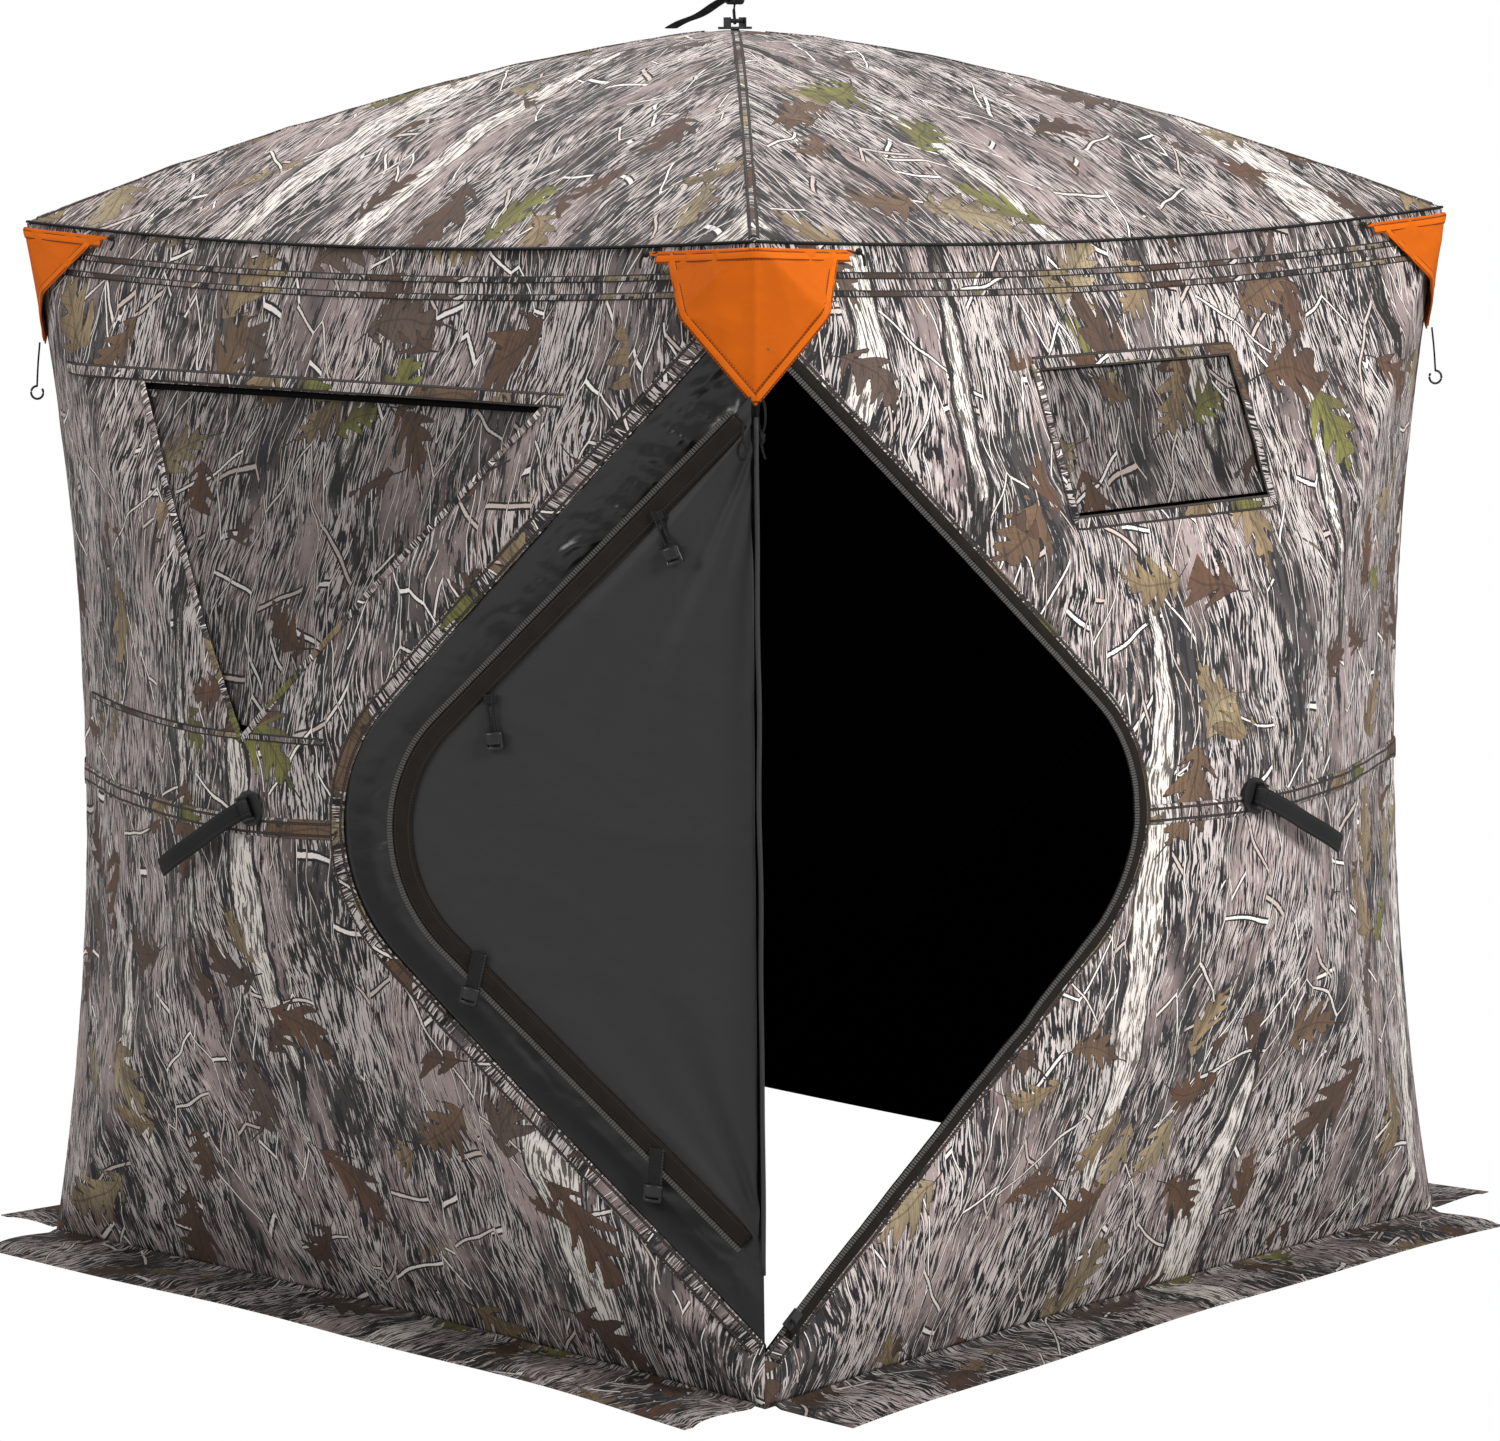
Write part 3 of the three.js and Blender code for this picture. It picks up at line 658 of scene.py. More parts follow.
LEAF_LAYER = SharedEffect(
    "Printed leaves",
    (("Vector", "NodeSocketVector", None), ("Density", "NodeSocketFloat", 10.0),
     ("Size", "NodeSocketFloat", 0.04)),
    (("Mask", "NodeSocketFloat"), ("Outline", "NodeSocketFloat"), ("Vein", "NodeSocketFloat"),
     ("Tone", "NodeSocketFloat"), ("Shade", "NodeSocketFloat")),
    build_leaf_layer,
)

LEAF_TONES = (
    (0.0, (0.15, 0.075, 0.038)), (0.20, (0.42, 0.31, 0.17)), (0.38, (0.10, 0.055, 0.035)),
    (0.54, (0.52, 0.42, 0.25)), (0.68, (0.22, 0.135, 0.075)), (0.80, (0.14, 0.10, 0.08)),
    (0.91, (0.26, 0.27, 0.06)),
)


def build_camo(graph: Graph, entry: bpy.types.Node) -> dict:
    """Woodland print: mauve bark with long dark and pale streaks, tangled twigs, pale trunks
    and three layers of fallen leaves."""
    place = entry.outputs["Vector"]
    drift = graph.noise(place, 5.0, 2.0).outputs["Color"]
    centred = graph.node("ShaderNodeVectorMath", {0: drift, 1: (0.5, 0.5, 0.5)}, operation="SUBTRACT")
    bend = graph.node("ShaderNodeVectorMath", {0: centred.outputs[0], "Scale": 0.055}, operation="SCALE")
    warped = graph.node("ShaderNodeVectorMath", {0: place, 1: bend.outputs[0]}, operation="ADD").outputs[0]
    coarse = graph.noise(graph.stretched(warped, (85, 12), 0.20), 1.0, 4.0, 0.6).outputs[0]
    fine = graph.noise(graph.stretched(warped, (300, 30), 0.12), 1.0, 3.0, 0.55).outputs[0]
    patch = graph.noise(graph.stretched(place, (7, 4), 0.1), 1.0, 3.0).outputs[0]
    busy = graph.noise(graph.stretched(place, (13, 5), -0.35), 1.0, 2.0).outputs[0]
    base = graph.ramp(patch, ((0.36, (0.045, 0.040, 0.040)), (0.46, (0.095, 0.078, 0.075)),
                              (0.56, (0.22, 0.170, 0.162)), (0.68, (0.36, 0.285, 0.272))))
    base = graph.mix(graph.times(coarse, 0.40), base, (0.04, 0.036, 0.036))
    dark = graph.above(graph.scaled(busy, 0.6, fine), 0.85)
    color = graph.mix(dark, base, (0.012, 0.011, 0.012))
    gap = graph.below(graph.scaled(patch, 0.35, coarse), 0.60)
    color = graph.mix(graph.times(gap, 0.92), color, (0.018, 0.018, 0.020))
    pale = graph.below(graph.scaled(busy, -0.55, fine), 0.140)
    color = graph.mix(graph.times(pale, 0.85), color, (0.52, 0.46, 0.44))
    twigs = ((15.0, (1.6, 0.24), 0.24, 0.0110, (0.66, 0.60, 0.57)),
             (11.0, (1.5, 0.30), -0.42, 0.0090, (0.46, 0.38, 0.34)),
             (9.0, (1.3, 0.36), 0.80, 0.0070, (0.72, 0.67, 0.63)),
             (8.0, (1.1, 0.42), -0.95, 0.0060, (0.58, 0.52, 0.48)))
    for density, stretch, turn, thin, tint in twigs:
        reach = {"Vector": graph.stretched(warped, stretch, turn), "Scale": density}
        branch = graph.node("ShaderNodeTexVoronoi", reach, voronoi_dimensions="2D",
                            feature="DISTANCE_TO_EDGE")
        far = graph.scaled(graph.less(fine, 0.5), 0.008, branch.outputs["Distance"])
        broken = graph.above(graph.noise(place, 0.6 * density, 1.0).outputs[0], 0.43)
        edge = graph.times(graph.below(far, thin * 2.1), broken)
        color = graph.mix(edge, color, (0.016, 0.014, 0.014))
        color = graph.mix(graph.times(graph.below(far, thin), broken), color, tint)
    trunk = graph.noise(graph.stretched(warped, (9.0, 0.8), -0.17), 1.0, 0.0).outputs[0]
    trunk = graph.scaled(graph.less(fine, 0.5), 0.06, trunk)
    bark = graph.mix(graph.above(fine, 0.52), (0.62, 0.57, 0.53), (0.10, 0.085, 0.075))
    color = graph.mix(graph.above(trunk, 0.725), color, (0.018, 0.016, 0.016))
    color = graph.mix(graph.above(trunk, 0.748), color, bark)
    leaf_layers = ((6.0, 0.060, 0.0, 0.36), (4.6, 0.072, 3.7, 0.42), (4.0, 0.066, 8.1, 0.33))
    for density, size, shift, share in leaf_layers:
        moved = graph.node("ShaderNodeVectorMath", {0: warped, 1: (shift, 0.6 * shift, 0)}, operation="ADD")
        leaves = LEAF_LAYER.used(graph, Vector=moved.outputs[0], Density=density, Size=size)
        tone = graph.ramp(leaves.outputs["Tone"], LEAF_TONES, steps=True)
        shaded = graph.mix(graph.times(coarse, 0.8), tone, (0.045, 0.032, 0.026))
        shaded = graph.mix(graph.times(leaves.outputs["Shade"], 0.7), shaded, (0.07, 0.045, 0.035))
        veined = graph.mix(graph.times(leaves.outputs["Vein"], 0.45), shaded, (0.03, 0.02, 0.015))
        speckled = graph.mix(graph.times(dark, 0.55), veined, (0.03, 0.025, 0.022))
        outline = graph.times(leaves.outputs["Outline"], 0.85)
        edged = graph.mix(outline, speckled, (0.02, 0.016, 0.015))
        group = graph.noise(moved.outputs[0], 2.6, 1.0).outputs[0]
        shown = graph.above(group, 1.0 - share - 0.12)
        color = graph.mix(graph.times(leaves.outputs["Mask"], shown), color, edged)
    # Brightness scales the whole print; the walls and the window flap use it to paint light and shade onto
    # their print.
    shade = {0: color, "Scale": entry.outputs["Brightness"]}
    return {"Color": graph.node("ShaderNodeVectorMath", shade, operation="SCALE").outputs[0]}


CAMO_PRINT = SharedEffect(
    "Woodland print",
    (("Vector", "NodeSocketVector", None), ("Brightness", "NodeSocketFloat", 1.0)),
    (("Color", "NodeSocketColor"),),
    build_camo,
)


def build_stitches(graph: Graph, entry: bpy.types.Node) -> dict:
    """Two rows of dashes, a set way each side of the middle of a band."""
    parts = graph.node("ShaderNodeSeparateXYZ", {0: entry.outputs["Vector"]})
    row = graph.less(graph.math("ABSOLUTE", parts.outputs[1]), entry.outputs["Offset"])
    near = graph.below(graph.math("ABSOLUTE", row), 0.0008)
    dash = graph.math("FRACT", graph.math("DIVIDE", parts.outputs[0], 0.0042))
    mask = graph.times(near, graph.below(dash, 0.68))
    pucker = graph.below(graph.math("ABSOLUTE", row), 0.0017)
    return {"Mask": mask, "Height": graph.less(1.0, pucker)}


STITCH_ROWS = SharedEffect(
    "Stitch rows",
    (("Vector", "NodeSocketVector", None), ("Offset", "NodeSocketFloat", 0.008)),
    (("Mask", "NodeSocketFloat"), ("Height", "NodeSocketFloat")),
    build_stitches,
)


def build_weave(graph: Graph, entry: bpy.types.Node) -> dict:
    """The height of a plain weave: the product of two sine waves."""
    parts = graph.node("ShaderNodeSeparateXYZ", {0: entry.outputs["Vector"]})
    turns = graph.math("DIVIDE", 6.283, entry.outputs["Pitch"])
    waves = [graph.math("SINE", graph.times(parts.outputs[axis], turns)) for axis in (0, 1)]
    return {"Height": graph.times(*waves)}


WEAVE = SharedEffect(
    "Plain weave",
    (("Vector", "NodeSocketVector", None), ("Pitch", "NodeSocketFloat", 0.002)),
    (("Height", "NodeSocketFloat"),),
    build_weave,
)


@dataclass(frozen=True)
class Finish:
    """A procedural finish in the pattern's own metres.

    color is used where camo is 0; camo is the print's brightness, which on the walls and the window flap also
    paints light and shade onto the print. stitch is the distance of two stitch rows from the middle of a
    band, or 0 for none. coords is the pattern map's name, or empty for the object's own coordinates.
    """

    name: str
    color: Color = (0.02, 0.02, 0.02)
    roughness: float = 0.8
    camo: float = 0.0
    mottle: float = 0.0
    weave: float = 0.0
    bump: float = 0.15
    crease: float = 0.0
    stitch: float = 0.0
    thread: Color = (0.16, 0.13, 0.10)
    metallic: float = 0.0
    specular: float = 0.5
    shift: tuple[float, float] = (0.0, 0.0)
    coords: str = "Pattern"

    def material(self) -> bpy.types.Material:
        """The finish as a material, made the first time it is asked for."""
        if self.name in bpy.data.materials:
            return bpy.data.materials[self.name]
        made = bpy.data.materials.new(self.name)
        made.use_nodes = True
        made.node_tree.nodes.clear()
        graph = Graph(made.node_tree)
        if self.coords:
            raw = graph.node("ShaderNodeUVMap", uv_map=self.coords).outputs[0]
        else:
            raw = graph.node("ShaderNodeTexCoord").outputs["Object"]
        moved = {"Vector": raw, "Location": (*self.shift, 0)}
        place = graph.node("ShaderNodeMapping", moved).outputs[0]
        inputs = {"Roughness": self.roughness, "Metallic": self.metallic, "Specular IOR Level": self.specular}
        inputs["Base Color"] = self._color(graph, raw, place)
        surface = graph.node("ShaderNodeBsdfPrincipled", inputs)
        height = self._height(graph, raw, place)
        bump = graph.node("ShaderNodeBump", {"Height": height, "Strength": self.bump, "Distance": 0.002})
        graph.tree.links.new(bump.outputs[0], surface.inputs["Normal"])
        graph.node("ShaderNodeOutputMaterial", {0: surface.outputs[0]})
        return made

    def _color(self, graph: Graph, raw: Link, place: Link) -> Link:
        """The print or plain colour, mottled, with its stitches and a painted shade band along each stitch
        row's pucker.
        """
        if self.camo:
            color = CAMO_PRINT.used(graph, Vector=place, Brightness=self.camo).outputs[0]
        else:
            share = graph.times(graph.noise(place, 38.0, 4.0).outputs[0], self.mottle)
            color = graph.mix(share, self.color, tuple(0.35 * part for part in self.color))
        if not self.stitch:
            return color
        rows = STITCH_ROWS.used(graph, Vector=raw, Offset=self.stitch)
        # Painted shade: a dark band along each stitch row stands for the shade in its pucker groove; the
        # thread dashes lie on it.
        pucker = tuple(0.3 * part for part in self.thread)
        dark = graph.mix(rows.outputs["Height"], pucker, color)
        return graph.mix(rows.outputs["Mask"], dark, self.thread)

    def _height(self, graph: Graph, raw: Link, place: Link) -> Link:
        """Fine cloth grain, soft creases, weave and stitch pucker, added up."""
        grain = graph.noise(place, 900.0 if self.coords else 300.0, 2.0).outputs[0]
        height = graph.times(grain, 0.25)
        if self.crease:
            soft = graph.noise(graph.stretched(place, (1.0, 2.2), 0.4), 11.0, 4.0, 0.5).outputs[0]
            height = graph.scaled(soft, self.crease, height)
        if self.weave:
            woven = WEAVE.used(graph, Vector=raw, Pitch=self.weave).outputs[0]
            height = graph.scaled(woven, 0.5, height)
        if self.stitch:
            pucker = STITCH_ROWS.used(graph, Vector=raw, Offset=self.stitch).outputs["Height"]
            height = graph.math("ADD", height, pucker)
        return height


# Painted light and shade: each wall's print brightness stands for how the lamps light that wall. The right
# wall's print is lightened as if lit from the right, the front wall's is darkened as if in shade, and the
# back and left are a little darkened.
WALL_PAINTED_LIGHT = {Side.FRONT: 0.88, Side.RIGHT: 1.08, Side.BACK: 0.95, Side.LEFT: 0.95}
CAMO = {side: Finish(f"camo cloth {side.word}", camo=WALL_PAINTED_LIGHT[side], bump=0.35, crease=3.0, specular=0.25,
                     roughness=0.82, shift=(1.9 * side.value, 0.7 * side.value)) for side in Side}
CAMO_ROOF = Finish("camo cloth roof", camo=0.80, bump=0.3, crease=2.5, specular=0.25, shift=(7.3, 2.2))
# Painted shade: the flap's print is darkened to half for its place set back inside the window opening.
CAMO_FLAP = Finish("camo cloth window flap", camo=0.5, bump=0.4, crease=4.0, specular=0.2, shift=(4.4, 5.1))
CAMO_HEM = Finish("camo hem", camo=0.85, bump=0.5, stitch=0.0075, specular=0.2,
                  thread=(0.05, 0.04, 0.035), shift=(3.1, 6.2))
CAMO_SEAM = Finish("camo seam", camo=0.7, bump=0.5, stitch=0.0045, specular=0.2,
                   thread=(0.04, 0.033, 0.03), shift=(5.6, 1.4))
CAMO_SKIRT = Finish("camo cloth skirt", camo=0.68, bump=0.35, crease=2.5, specular=0.2, shift=(9.2, 3.3))
BLACKOUT = Finish("black cloth lining", (0.0022, 0.0023, 0.0024), 0.8, bump=0.3, crease=3.0, specular=0.05)
GUSSET = Finish("coated black cloth", (0.0075, 0.0075, 0.008), 0.32, bump=0.35, crease=2.0, specular=0.42)
LEAF_CLOTH = Finish("matte dark cloth", (0.022, 0.022, 0.0225), 0.58, bump=0.25, crease=3.0, specular=0.22)
ORANGE = Finish("orange cloth", (0.50, 0.098, 0.003), 0.68, mottle=0.25, weave=0.0022, bump=0.4, crease=4.0,
                specular=0.08)
ORANGE_HEM = Finish("orange hem", (0.54, 0.108, 0.003), 0.7, mottle=0.25, specular=0.08,
                    stitch=0.0055, bump=0.5, thread=(0.30, 0.06, 0.008))
ZIP_TAPE = Finish("brown zip tape", (0.021, 0.0165, 0.013), 0.8, mottle=0.8, specular=0.1,
                  weave=0.0016, bump=0.5, stitch=0.0085, thread=(0.035, 0.028, 0.022))
ZIP_COIL = Finish("zip coil", (0.060, 0.057, 0.053), 0.4, bump=0.1, specular=0.35)
ZIP_METAL = Finish("zip metal", (0.07, 0.07, 0.075), 0.35, metallic=0.9, coords="")
PIPING = Finish("black piping", (0.012, 0.012, 0.012), 0.7, specular=0.15, weave=0.003, bump=0.3)
WEBBING = Finish("black webbing", (0.011, 0.011, 0.012), 0.75, specular=0.2, weave=0.0024,
                 bump=0.8, stitch=0.0085, thread=(0.03, 0.03, 0.03))
CORD = Finish("black cord", (0.010, 0.010, 0.010), 0.7, specular=0.2, weave=0.0018, bump=0.6)
PLASTIC = Finish("black plastic", (0.011, 0.011, 0.012), 0.42, bump=0.08, specular=0.35, coords="")
NET = Finish("window net", (0.005, 0.005, 0.005), 0.85, weave=0.0016, bump=0.9, specular=0.1)
ROD = Finish("glass fibre rod", (0.006, 0.006, 0.007), 0.5, bump=0.1, specular=0.15)


# ---- The studio -------------------------------------------------------------------------
@dataclass(frozen=True)
class Studio:
    """The camera, a pale floor and soft lights."""

    camera_place: tuple[float, float, float] = (4.797, -5.003, 1.669)
    camera_forward: tuple[float, float, float] = (-0.6846, 0.7164, -0.1347)
    camera_roll: float = math.radians(-0.547)
    lens: float = 118.42
    floor_size: float = 60.0
    sky: float = 0.42

    def add_camera(self) -> None:
        """The camera, turned to its forward direction and then rolled."""
        data = bpy.data.cameras.new("Camera")
        data.sensor_fit = "HORIZONTAL"
        data.sensor_width = 36.0
        data.lens = self.lens
        camera = bpy.data.objects.new("Camera", data)
        aim = Vector(self.camera_forward).to_track_quat("-Z", "Y").to_matrix()
        camera.matrix_world = (aim @ Matrix.Rotation(self.camera_roll, 3, "Z")).to_4x4()
        camera.location = self.camera_place
        bpy.context.scene.collection.objects.link(camera)
        bpy.context.scene.camera = camera

    def add_floor(self) -> None:
        """A plain pale floor just under the skirt."""
        half = self.floor_size / 2
        points = [(-half, -half, -0.002), (half, -half, -0.002), (half, half, -0.002), (-half, half, -0.002)]
        white = bpy.data.materials.new("pale floor")
        white.use_nodes = True
        surface = white.node_tree.nodes["Principled BSDF"]
        surface.inputs["Base Color"].default_value = (0.55, 0.55, 0.55, 1)
        surface.inputs["Roughness"].default_value = 1.0
        graph = Graph(white.node_tree)
        bright = graph.node("ShaderNodeEmission", {"Color": (1, 1, 1, 1), "Strength": 1.0})
        seen = graph.node("ShaderNodeLightPath").outputs["Is Camera Ray"]
        mixed = graph.node("ShaderNodeMixShader", {0: seen, 1: surface.outputs[0], 2: bright.outputs[0]})
        white.node_tree.links.new(mixed.outputs[0], white.node_tree.nodes["Material Output"].inputs[0])
        mesh_piece("floor", points, [(0, 1, 2, 3)], materials=[white])

    def add_lights(self) -> None:
        """A bright even sky and three large soft lamps, the strongest from the right."""
        scene = bpy.context.scene
        scene.view_settings.view_transform = "Standard"
        scene.world = bpy.data.worlds.new("Studio sky")
        scene.world.use_nodes = True
        graph = Graph(scene.world.node_tree)
        seen = graph.node("ShaderNodeLightPath").outputs["Is Camera Ray"]
        strength = graph.scaled(seen, 1.0 - self.sky, self.sky)
        sky = scene.world.node_tree.nodes["Background"]
        sky.inputs["Color"].default_value = (1, 1, 1, 1)
        scene.world.node_tree.links.new(strength, sky.inputs["Strength"])
        self._lamp("key", (5.2, -0.6, 3.4), 330.0, 1.6)
        self._lamp("fill", (-2.6, -5.4, 3.0), 150.0, 1.6)
        self._lamp("top", (-0.4, 0.2, 5.2), 240.0, 2.4)

    @staticmethod
    def _lamp(name: str, place: tuple[float, float, float], power: float, size: float) -> None:
        """A square lamp that faces the middle of the blind."""
        data = bpy.data.lights.new(name, "AREA")
        data.energy = power
        data.size = size
        lamp = bpy.data.objects.new(name, data)
        lamp.location = place
        lamp.rotation_euler = (Vector((0, 0, 0.8)) - Vector(place)).to_track_quat("-Z", "Y").to_euler()
        bpy.context.scene.collection.objects.link(lamp)


# ---- The walls --------------------------------------------------------------------------
ROOT = "root"
BLEND_START, BLEND_END = 0.2, 1.06
CELLS, QUICK_CELLS = 150, 60
CLOTH, TWO_LAYERS, NET_CLOTH, CAP_CLOTH = 0.0005, 0.0014, 0.0008, 0.0016
LINING_DEPTH = 0.0030
BAND_LIFT, FLAP_LIFT, NET_LIFT, ROD_LIFT = 0.001, -0.0062, -0.0105, -0.013
ROD_RADIUS, FERRULE_RADIUS, FERRULE_LENGTH = 0.00475, 0.0065, 0.045
ROD_SHARES = np.linspace(0.045, 0.94, 48)
ROD_CORNERS = (("top_right", 1, 1), ("top_left", -1, 1), ("bottom_left", -1, -1), ("bottom_right", 1, -1))


def band_piece(name: str, strips: Sequence[Strip], finish: Finish,
               body: str = "") -> bpy.types.Object:
    """A closed piece made of swept strips, which rides a body where one is given."""
    strip = joined(strips)
    piece = mesh_piece(name, strip.points, strip.faces, strip.uv, [finish.material()], closed=True)
    if body:
        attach(piece, body)
    return piece


def settled_sheet(piece: bpy.types.Object, node: str, thickness: float = CLOTH,
                  two_sided: bool = False) -> float:
    """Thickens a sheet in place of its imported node, and gives the area of one side of it."""
    thicken(piece, thickness, two_sided)
    area = settle(piece)
    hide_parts(node)
    return area


@dataclass(frozen=True)
class Bend:
    """A hub's line of travel, from a start to an end; linings are set in along it, and pieces are not bent.
    """

    hub: str
    start: Vector
    end: Vector

    @classmethod
    def on_wall(cls, side: Side, form: BlindForm) -> "Bend":
        """The bend of a wall, along its outward direction."""
        reach = [form.half_side + share * form.wall_bulge for share in (BLEND_START, BLEND_END)]
        ends = turned(np.array([[0, -reach[0], 0.7], [0, -reach[1], 0.7]]), side.value)
        return cls(f"{side.word}_hub", Vector(ends[0]), Vector(ends[1]))

    @classmethod
    def on_roof(cls, form: BlindForm) -> "Bend":
        """The bend of the roof, along Z."""
        high = [form.corner_height + share * form.roof_rise for share in (BLEND_START, BLEND_END)]
        return cls("roof_hub", Vector((0, 0, high[0])), Vector((0, 0, high[1])))

    def apply(self, piece: bpy.types.Object, lift: float = 0.0) -> None:
        """Bakes a finished piece's place into its mesh; it is not bent between the root and the hub.

        The lift is not used.
        """
        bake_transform(piece)

    def line(self, cloth: bpy.types.Object) -> bpy.types.Object:
        """A black lining behind a single sheet, moved in along the hub's travel."""
        lining = bpy.data.objects.new(cloth.name.replace("_cloth", "_lining"), cloth.data.copy())
        bpy.context.scene.collection.objects.link(lining)
        lining.data.materials.clear()
        lining.data.materials.append(BLACKOUT.material())
        inwards = -LINING_DEPTH * (self.end - self.start).normalized()
        lining.data.transform(Matrix.Translation(inwards))
        thicken(lining, CLOTH)
        settle(lining)
        self.apply(lining, -LINING_DEPTH)
        return lining


@dataclass(frozen=True)
class WallPlan:
    """What differs from one wall to the next."""

    side: Side
    window: PolygonOutline
    window_top: float
    door: Optional[DoorOutline]
    belt: tuple[float, float]
    belt_ends: tuple[float, float]
    strap_turn: float
    seed: int

    @property
    def window_cloth(self) -> tuple[float, float]:
        """The flat size of the window's flap and net."""
        return (0.80, 0.48) if self.window is TRIANGLE else (0.44, 0.24)


TRIANGLE = PolygonOutline(((-0.371, 1.235), (-0.030, 0.800), (0.421, 1.235)))
BOX = PolygonOutline(((-0.254, 1.273), (-0.254, 1.075), (0.147, 1.075), (0.147, 1.273)))
FRONT_DOOR = DoorOutline(0.367, 0.697, 0.220, 47.2, 43.9)
RIGHT_DOOR = DoorOutline(0.408, 0.706, 0.216, 47.5, 48.0, hand=-1)
LEAF_OUTLINE = DoorOutline(0.436, 0.700, 0.206, 46.0, 43.5)
PLANS = (
    WallPlan(Side.FRONT, TRIANGLE, 1.235, FRONT_DOOR, (0.662, 0.690), (-0.70, 0.130), 207.0, 11),
    WallPlan(Side.RIGHT, BOX, 1.273, RIGHT_DOOR, (0.700, 0.680), (-0.170, 0.70), -24.0, 23),
    WallPlan(Side.BACK, TRIANGLE, 1.235, None, (0.676, 0.676), (-0.70, 0.70), 207.0, 37),
    WallPlan(Side.LEFT, TRIANGLE, 1.235, None, (0.676, 0.676), (-0.70, 0.70), -24.0, 41),
)


@dataclass
class Wall:
    """One wall: its cloth with window and door openings, hems, belt, seams, flap and net."""

    form: BlindForm
    plan: WallPlan

    def __post_init__(self) -> None:
        """Prepares the wall's creases and its hub's line of travel."""
        self.side = self.plan.side
        self.bend = Bend.on_wall(self.side, self.form)
        self.folds = (
            Creases(self.plan.seed, 0.30, 0.0050),
            Creases(self.plan.seed + 1, 0.11, 0.0022),
            Creases(self.plan.seed + 2, 0.07, 0.0012, heading=0.0, spread=0.5),
        )

    def creased(self, x: Array, z: Array) -> Array:
        """Outward creases, gone at the wall's edges."""
        edge = np.minimum(0.70 - np.abs(x), np.minimum(z, 1.42 - z))
        fade = np.clip(edge / 0.10, 0, 1)
        return sum(fold.at(x, z) for fold in self.folds) * fade * fade * (3 - 2 * fade) - 0.002 * fade

    def cloth(self, x: Array, z: Array, lift: Array | float) -> Array:
        """Places on this wall's creased cloth, in the row frame."""
        return turned(self.form.wall_at(x, z, self.creased(x, z) + lift), self.side.value)

    def build(self) -> None:
        """Builds everything on this wall."""
        self.build_cloth()
        self.build_hems()
        self.build_flap()
        self.build_net()
        self.build_rods()
        log.info("built the %s wall", self.side.word)

    def outlines(self) -> list:
        """The openings in the cloth."""
        return [self.plan.window] + ([self.plan.door] if self.plan.door else [])

    def build_cloth(self) -> None:
        """The cloth: a fine grid with its openings cut and its rim moved onto their outlines.

        A face goes when its middle is in an opening; points shared by kept and dropped faces
        move along the outline's direction by their distance from it.
        """
        count = CELLS
        s, t = np.meshgrid(np.linspace(-1, 1, count), np.linspace(-1, 1, count), indexing="xy")
        flat = self.form.wall(s, t, 0 * s)
        x, z = flat[..., 0].ravel(), flat[..., 2].ravel()
        faces = grid_faces(count, count)
        for outline in self.outlines():
            inside = outline.distance(x[faces].mean(1), z[faces].mean(1))[0] < 0
            rim = np.intersect1d(faces[inside], faces[~inside])
            far, nx, nz = outline.distance(x[rim], z[rim])
            x[rim] -= far * nx
            z[rim] -= far * nz
            faces = faces[~inside]
        points = self.cloth(x, z, 0.0)
        # The wall's print carries this side's painted light and shade.
        print_side = [CAMO[self.side].material()]
        piece = mesh_piece(f"{self.side.word}_wall_cloth", points, faces, np.stack([x, z], -1), print_side)
        lining = self.bend.line(piece)
        area = settled_sheet(piece, f"{self.side.word}_wall")
        self.bend.apply(piece)

    def band(self, path: Array, width: float, height: float, lift: float = 0.0002) -> Strip:
        """A sewn band along a plan path."""
        return band_on(self.cloth, path, tape_profile(width, height), lift)

    def straight(self, start: tuple[float, float], end: tuple[float, float]) -> Array:
        """Even plan points from one place to another."""
        return resampled(np.array([start, end]), 0.009)

    def build_hems(self) -> None:
        """The belt, the seams by the roof edge, and the hems of the window and door."""
        plan = self.plan
        (x0, x1), (z0, z1) = plan.belt_ends, plan.belt
        hems = [self.band(self.straight((x0, z0), (x1, z1)), 0.026, 0.0016)]
        if plan.door:
            hems.append(self.band(plan.door.curve(0.683, 0.011), 0.022, 0.0018))
        if plan.window is BOX:
            hems.append(self.band(plan.window.loop(), 0.018, 0.0014))
        else:
            (left, _), (tip_x, tip_z), (right, _) = plan.window.corners
            top = plan.window_top + 0.008
            header = self.straight((left - 0.190, top + 0.003), (right + 0.02, top))
            hems.append(self.band(header, 0.018, 0.0018))
            sides = [self.straight((x, top), (tip_x, tip_z - 0.006)) for x in (left, right)]
            hems += [self.band(path, 0.010, 0.0012) for path in sides]
        self.add_bands("hems", hems, CAMO_HEM)
        seams = [self.edge_seam(0.036), self.edge_seam(0.058)]
        if plan.window is not BOX:
            seams.append(self.band(self.straight((-0.585, 0.786), (x1 - 0.01, 0.803)), 0.010, 0.0011))
        self.add_bands("seams", seams, CAMO_SEAM)

    def edge_seam(self, below: float) -> Strip:
        """A seam a set way under the sagging roof edge."""
        x = np.linspace(-0.696, 0.696, 140)
        s = x / self.form.half_side
        top = self.form.corner_height - self.form.top_gap - self.form.roof_sag * (1 - s * s)
        return self.band(np.stack([x, top - below], -1), 0.009, 0.0010)

    def add_bands(self, kind: str, strips: Sequence[Strip], finish: Finish) -> None:
        """A piece of sewn bands on the wall."""
        piece = band_piece(f"{self.side.word}_wall_{kind}", strips, finish)
        self.bend.apply(piece, BAND_LIFT)

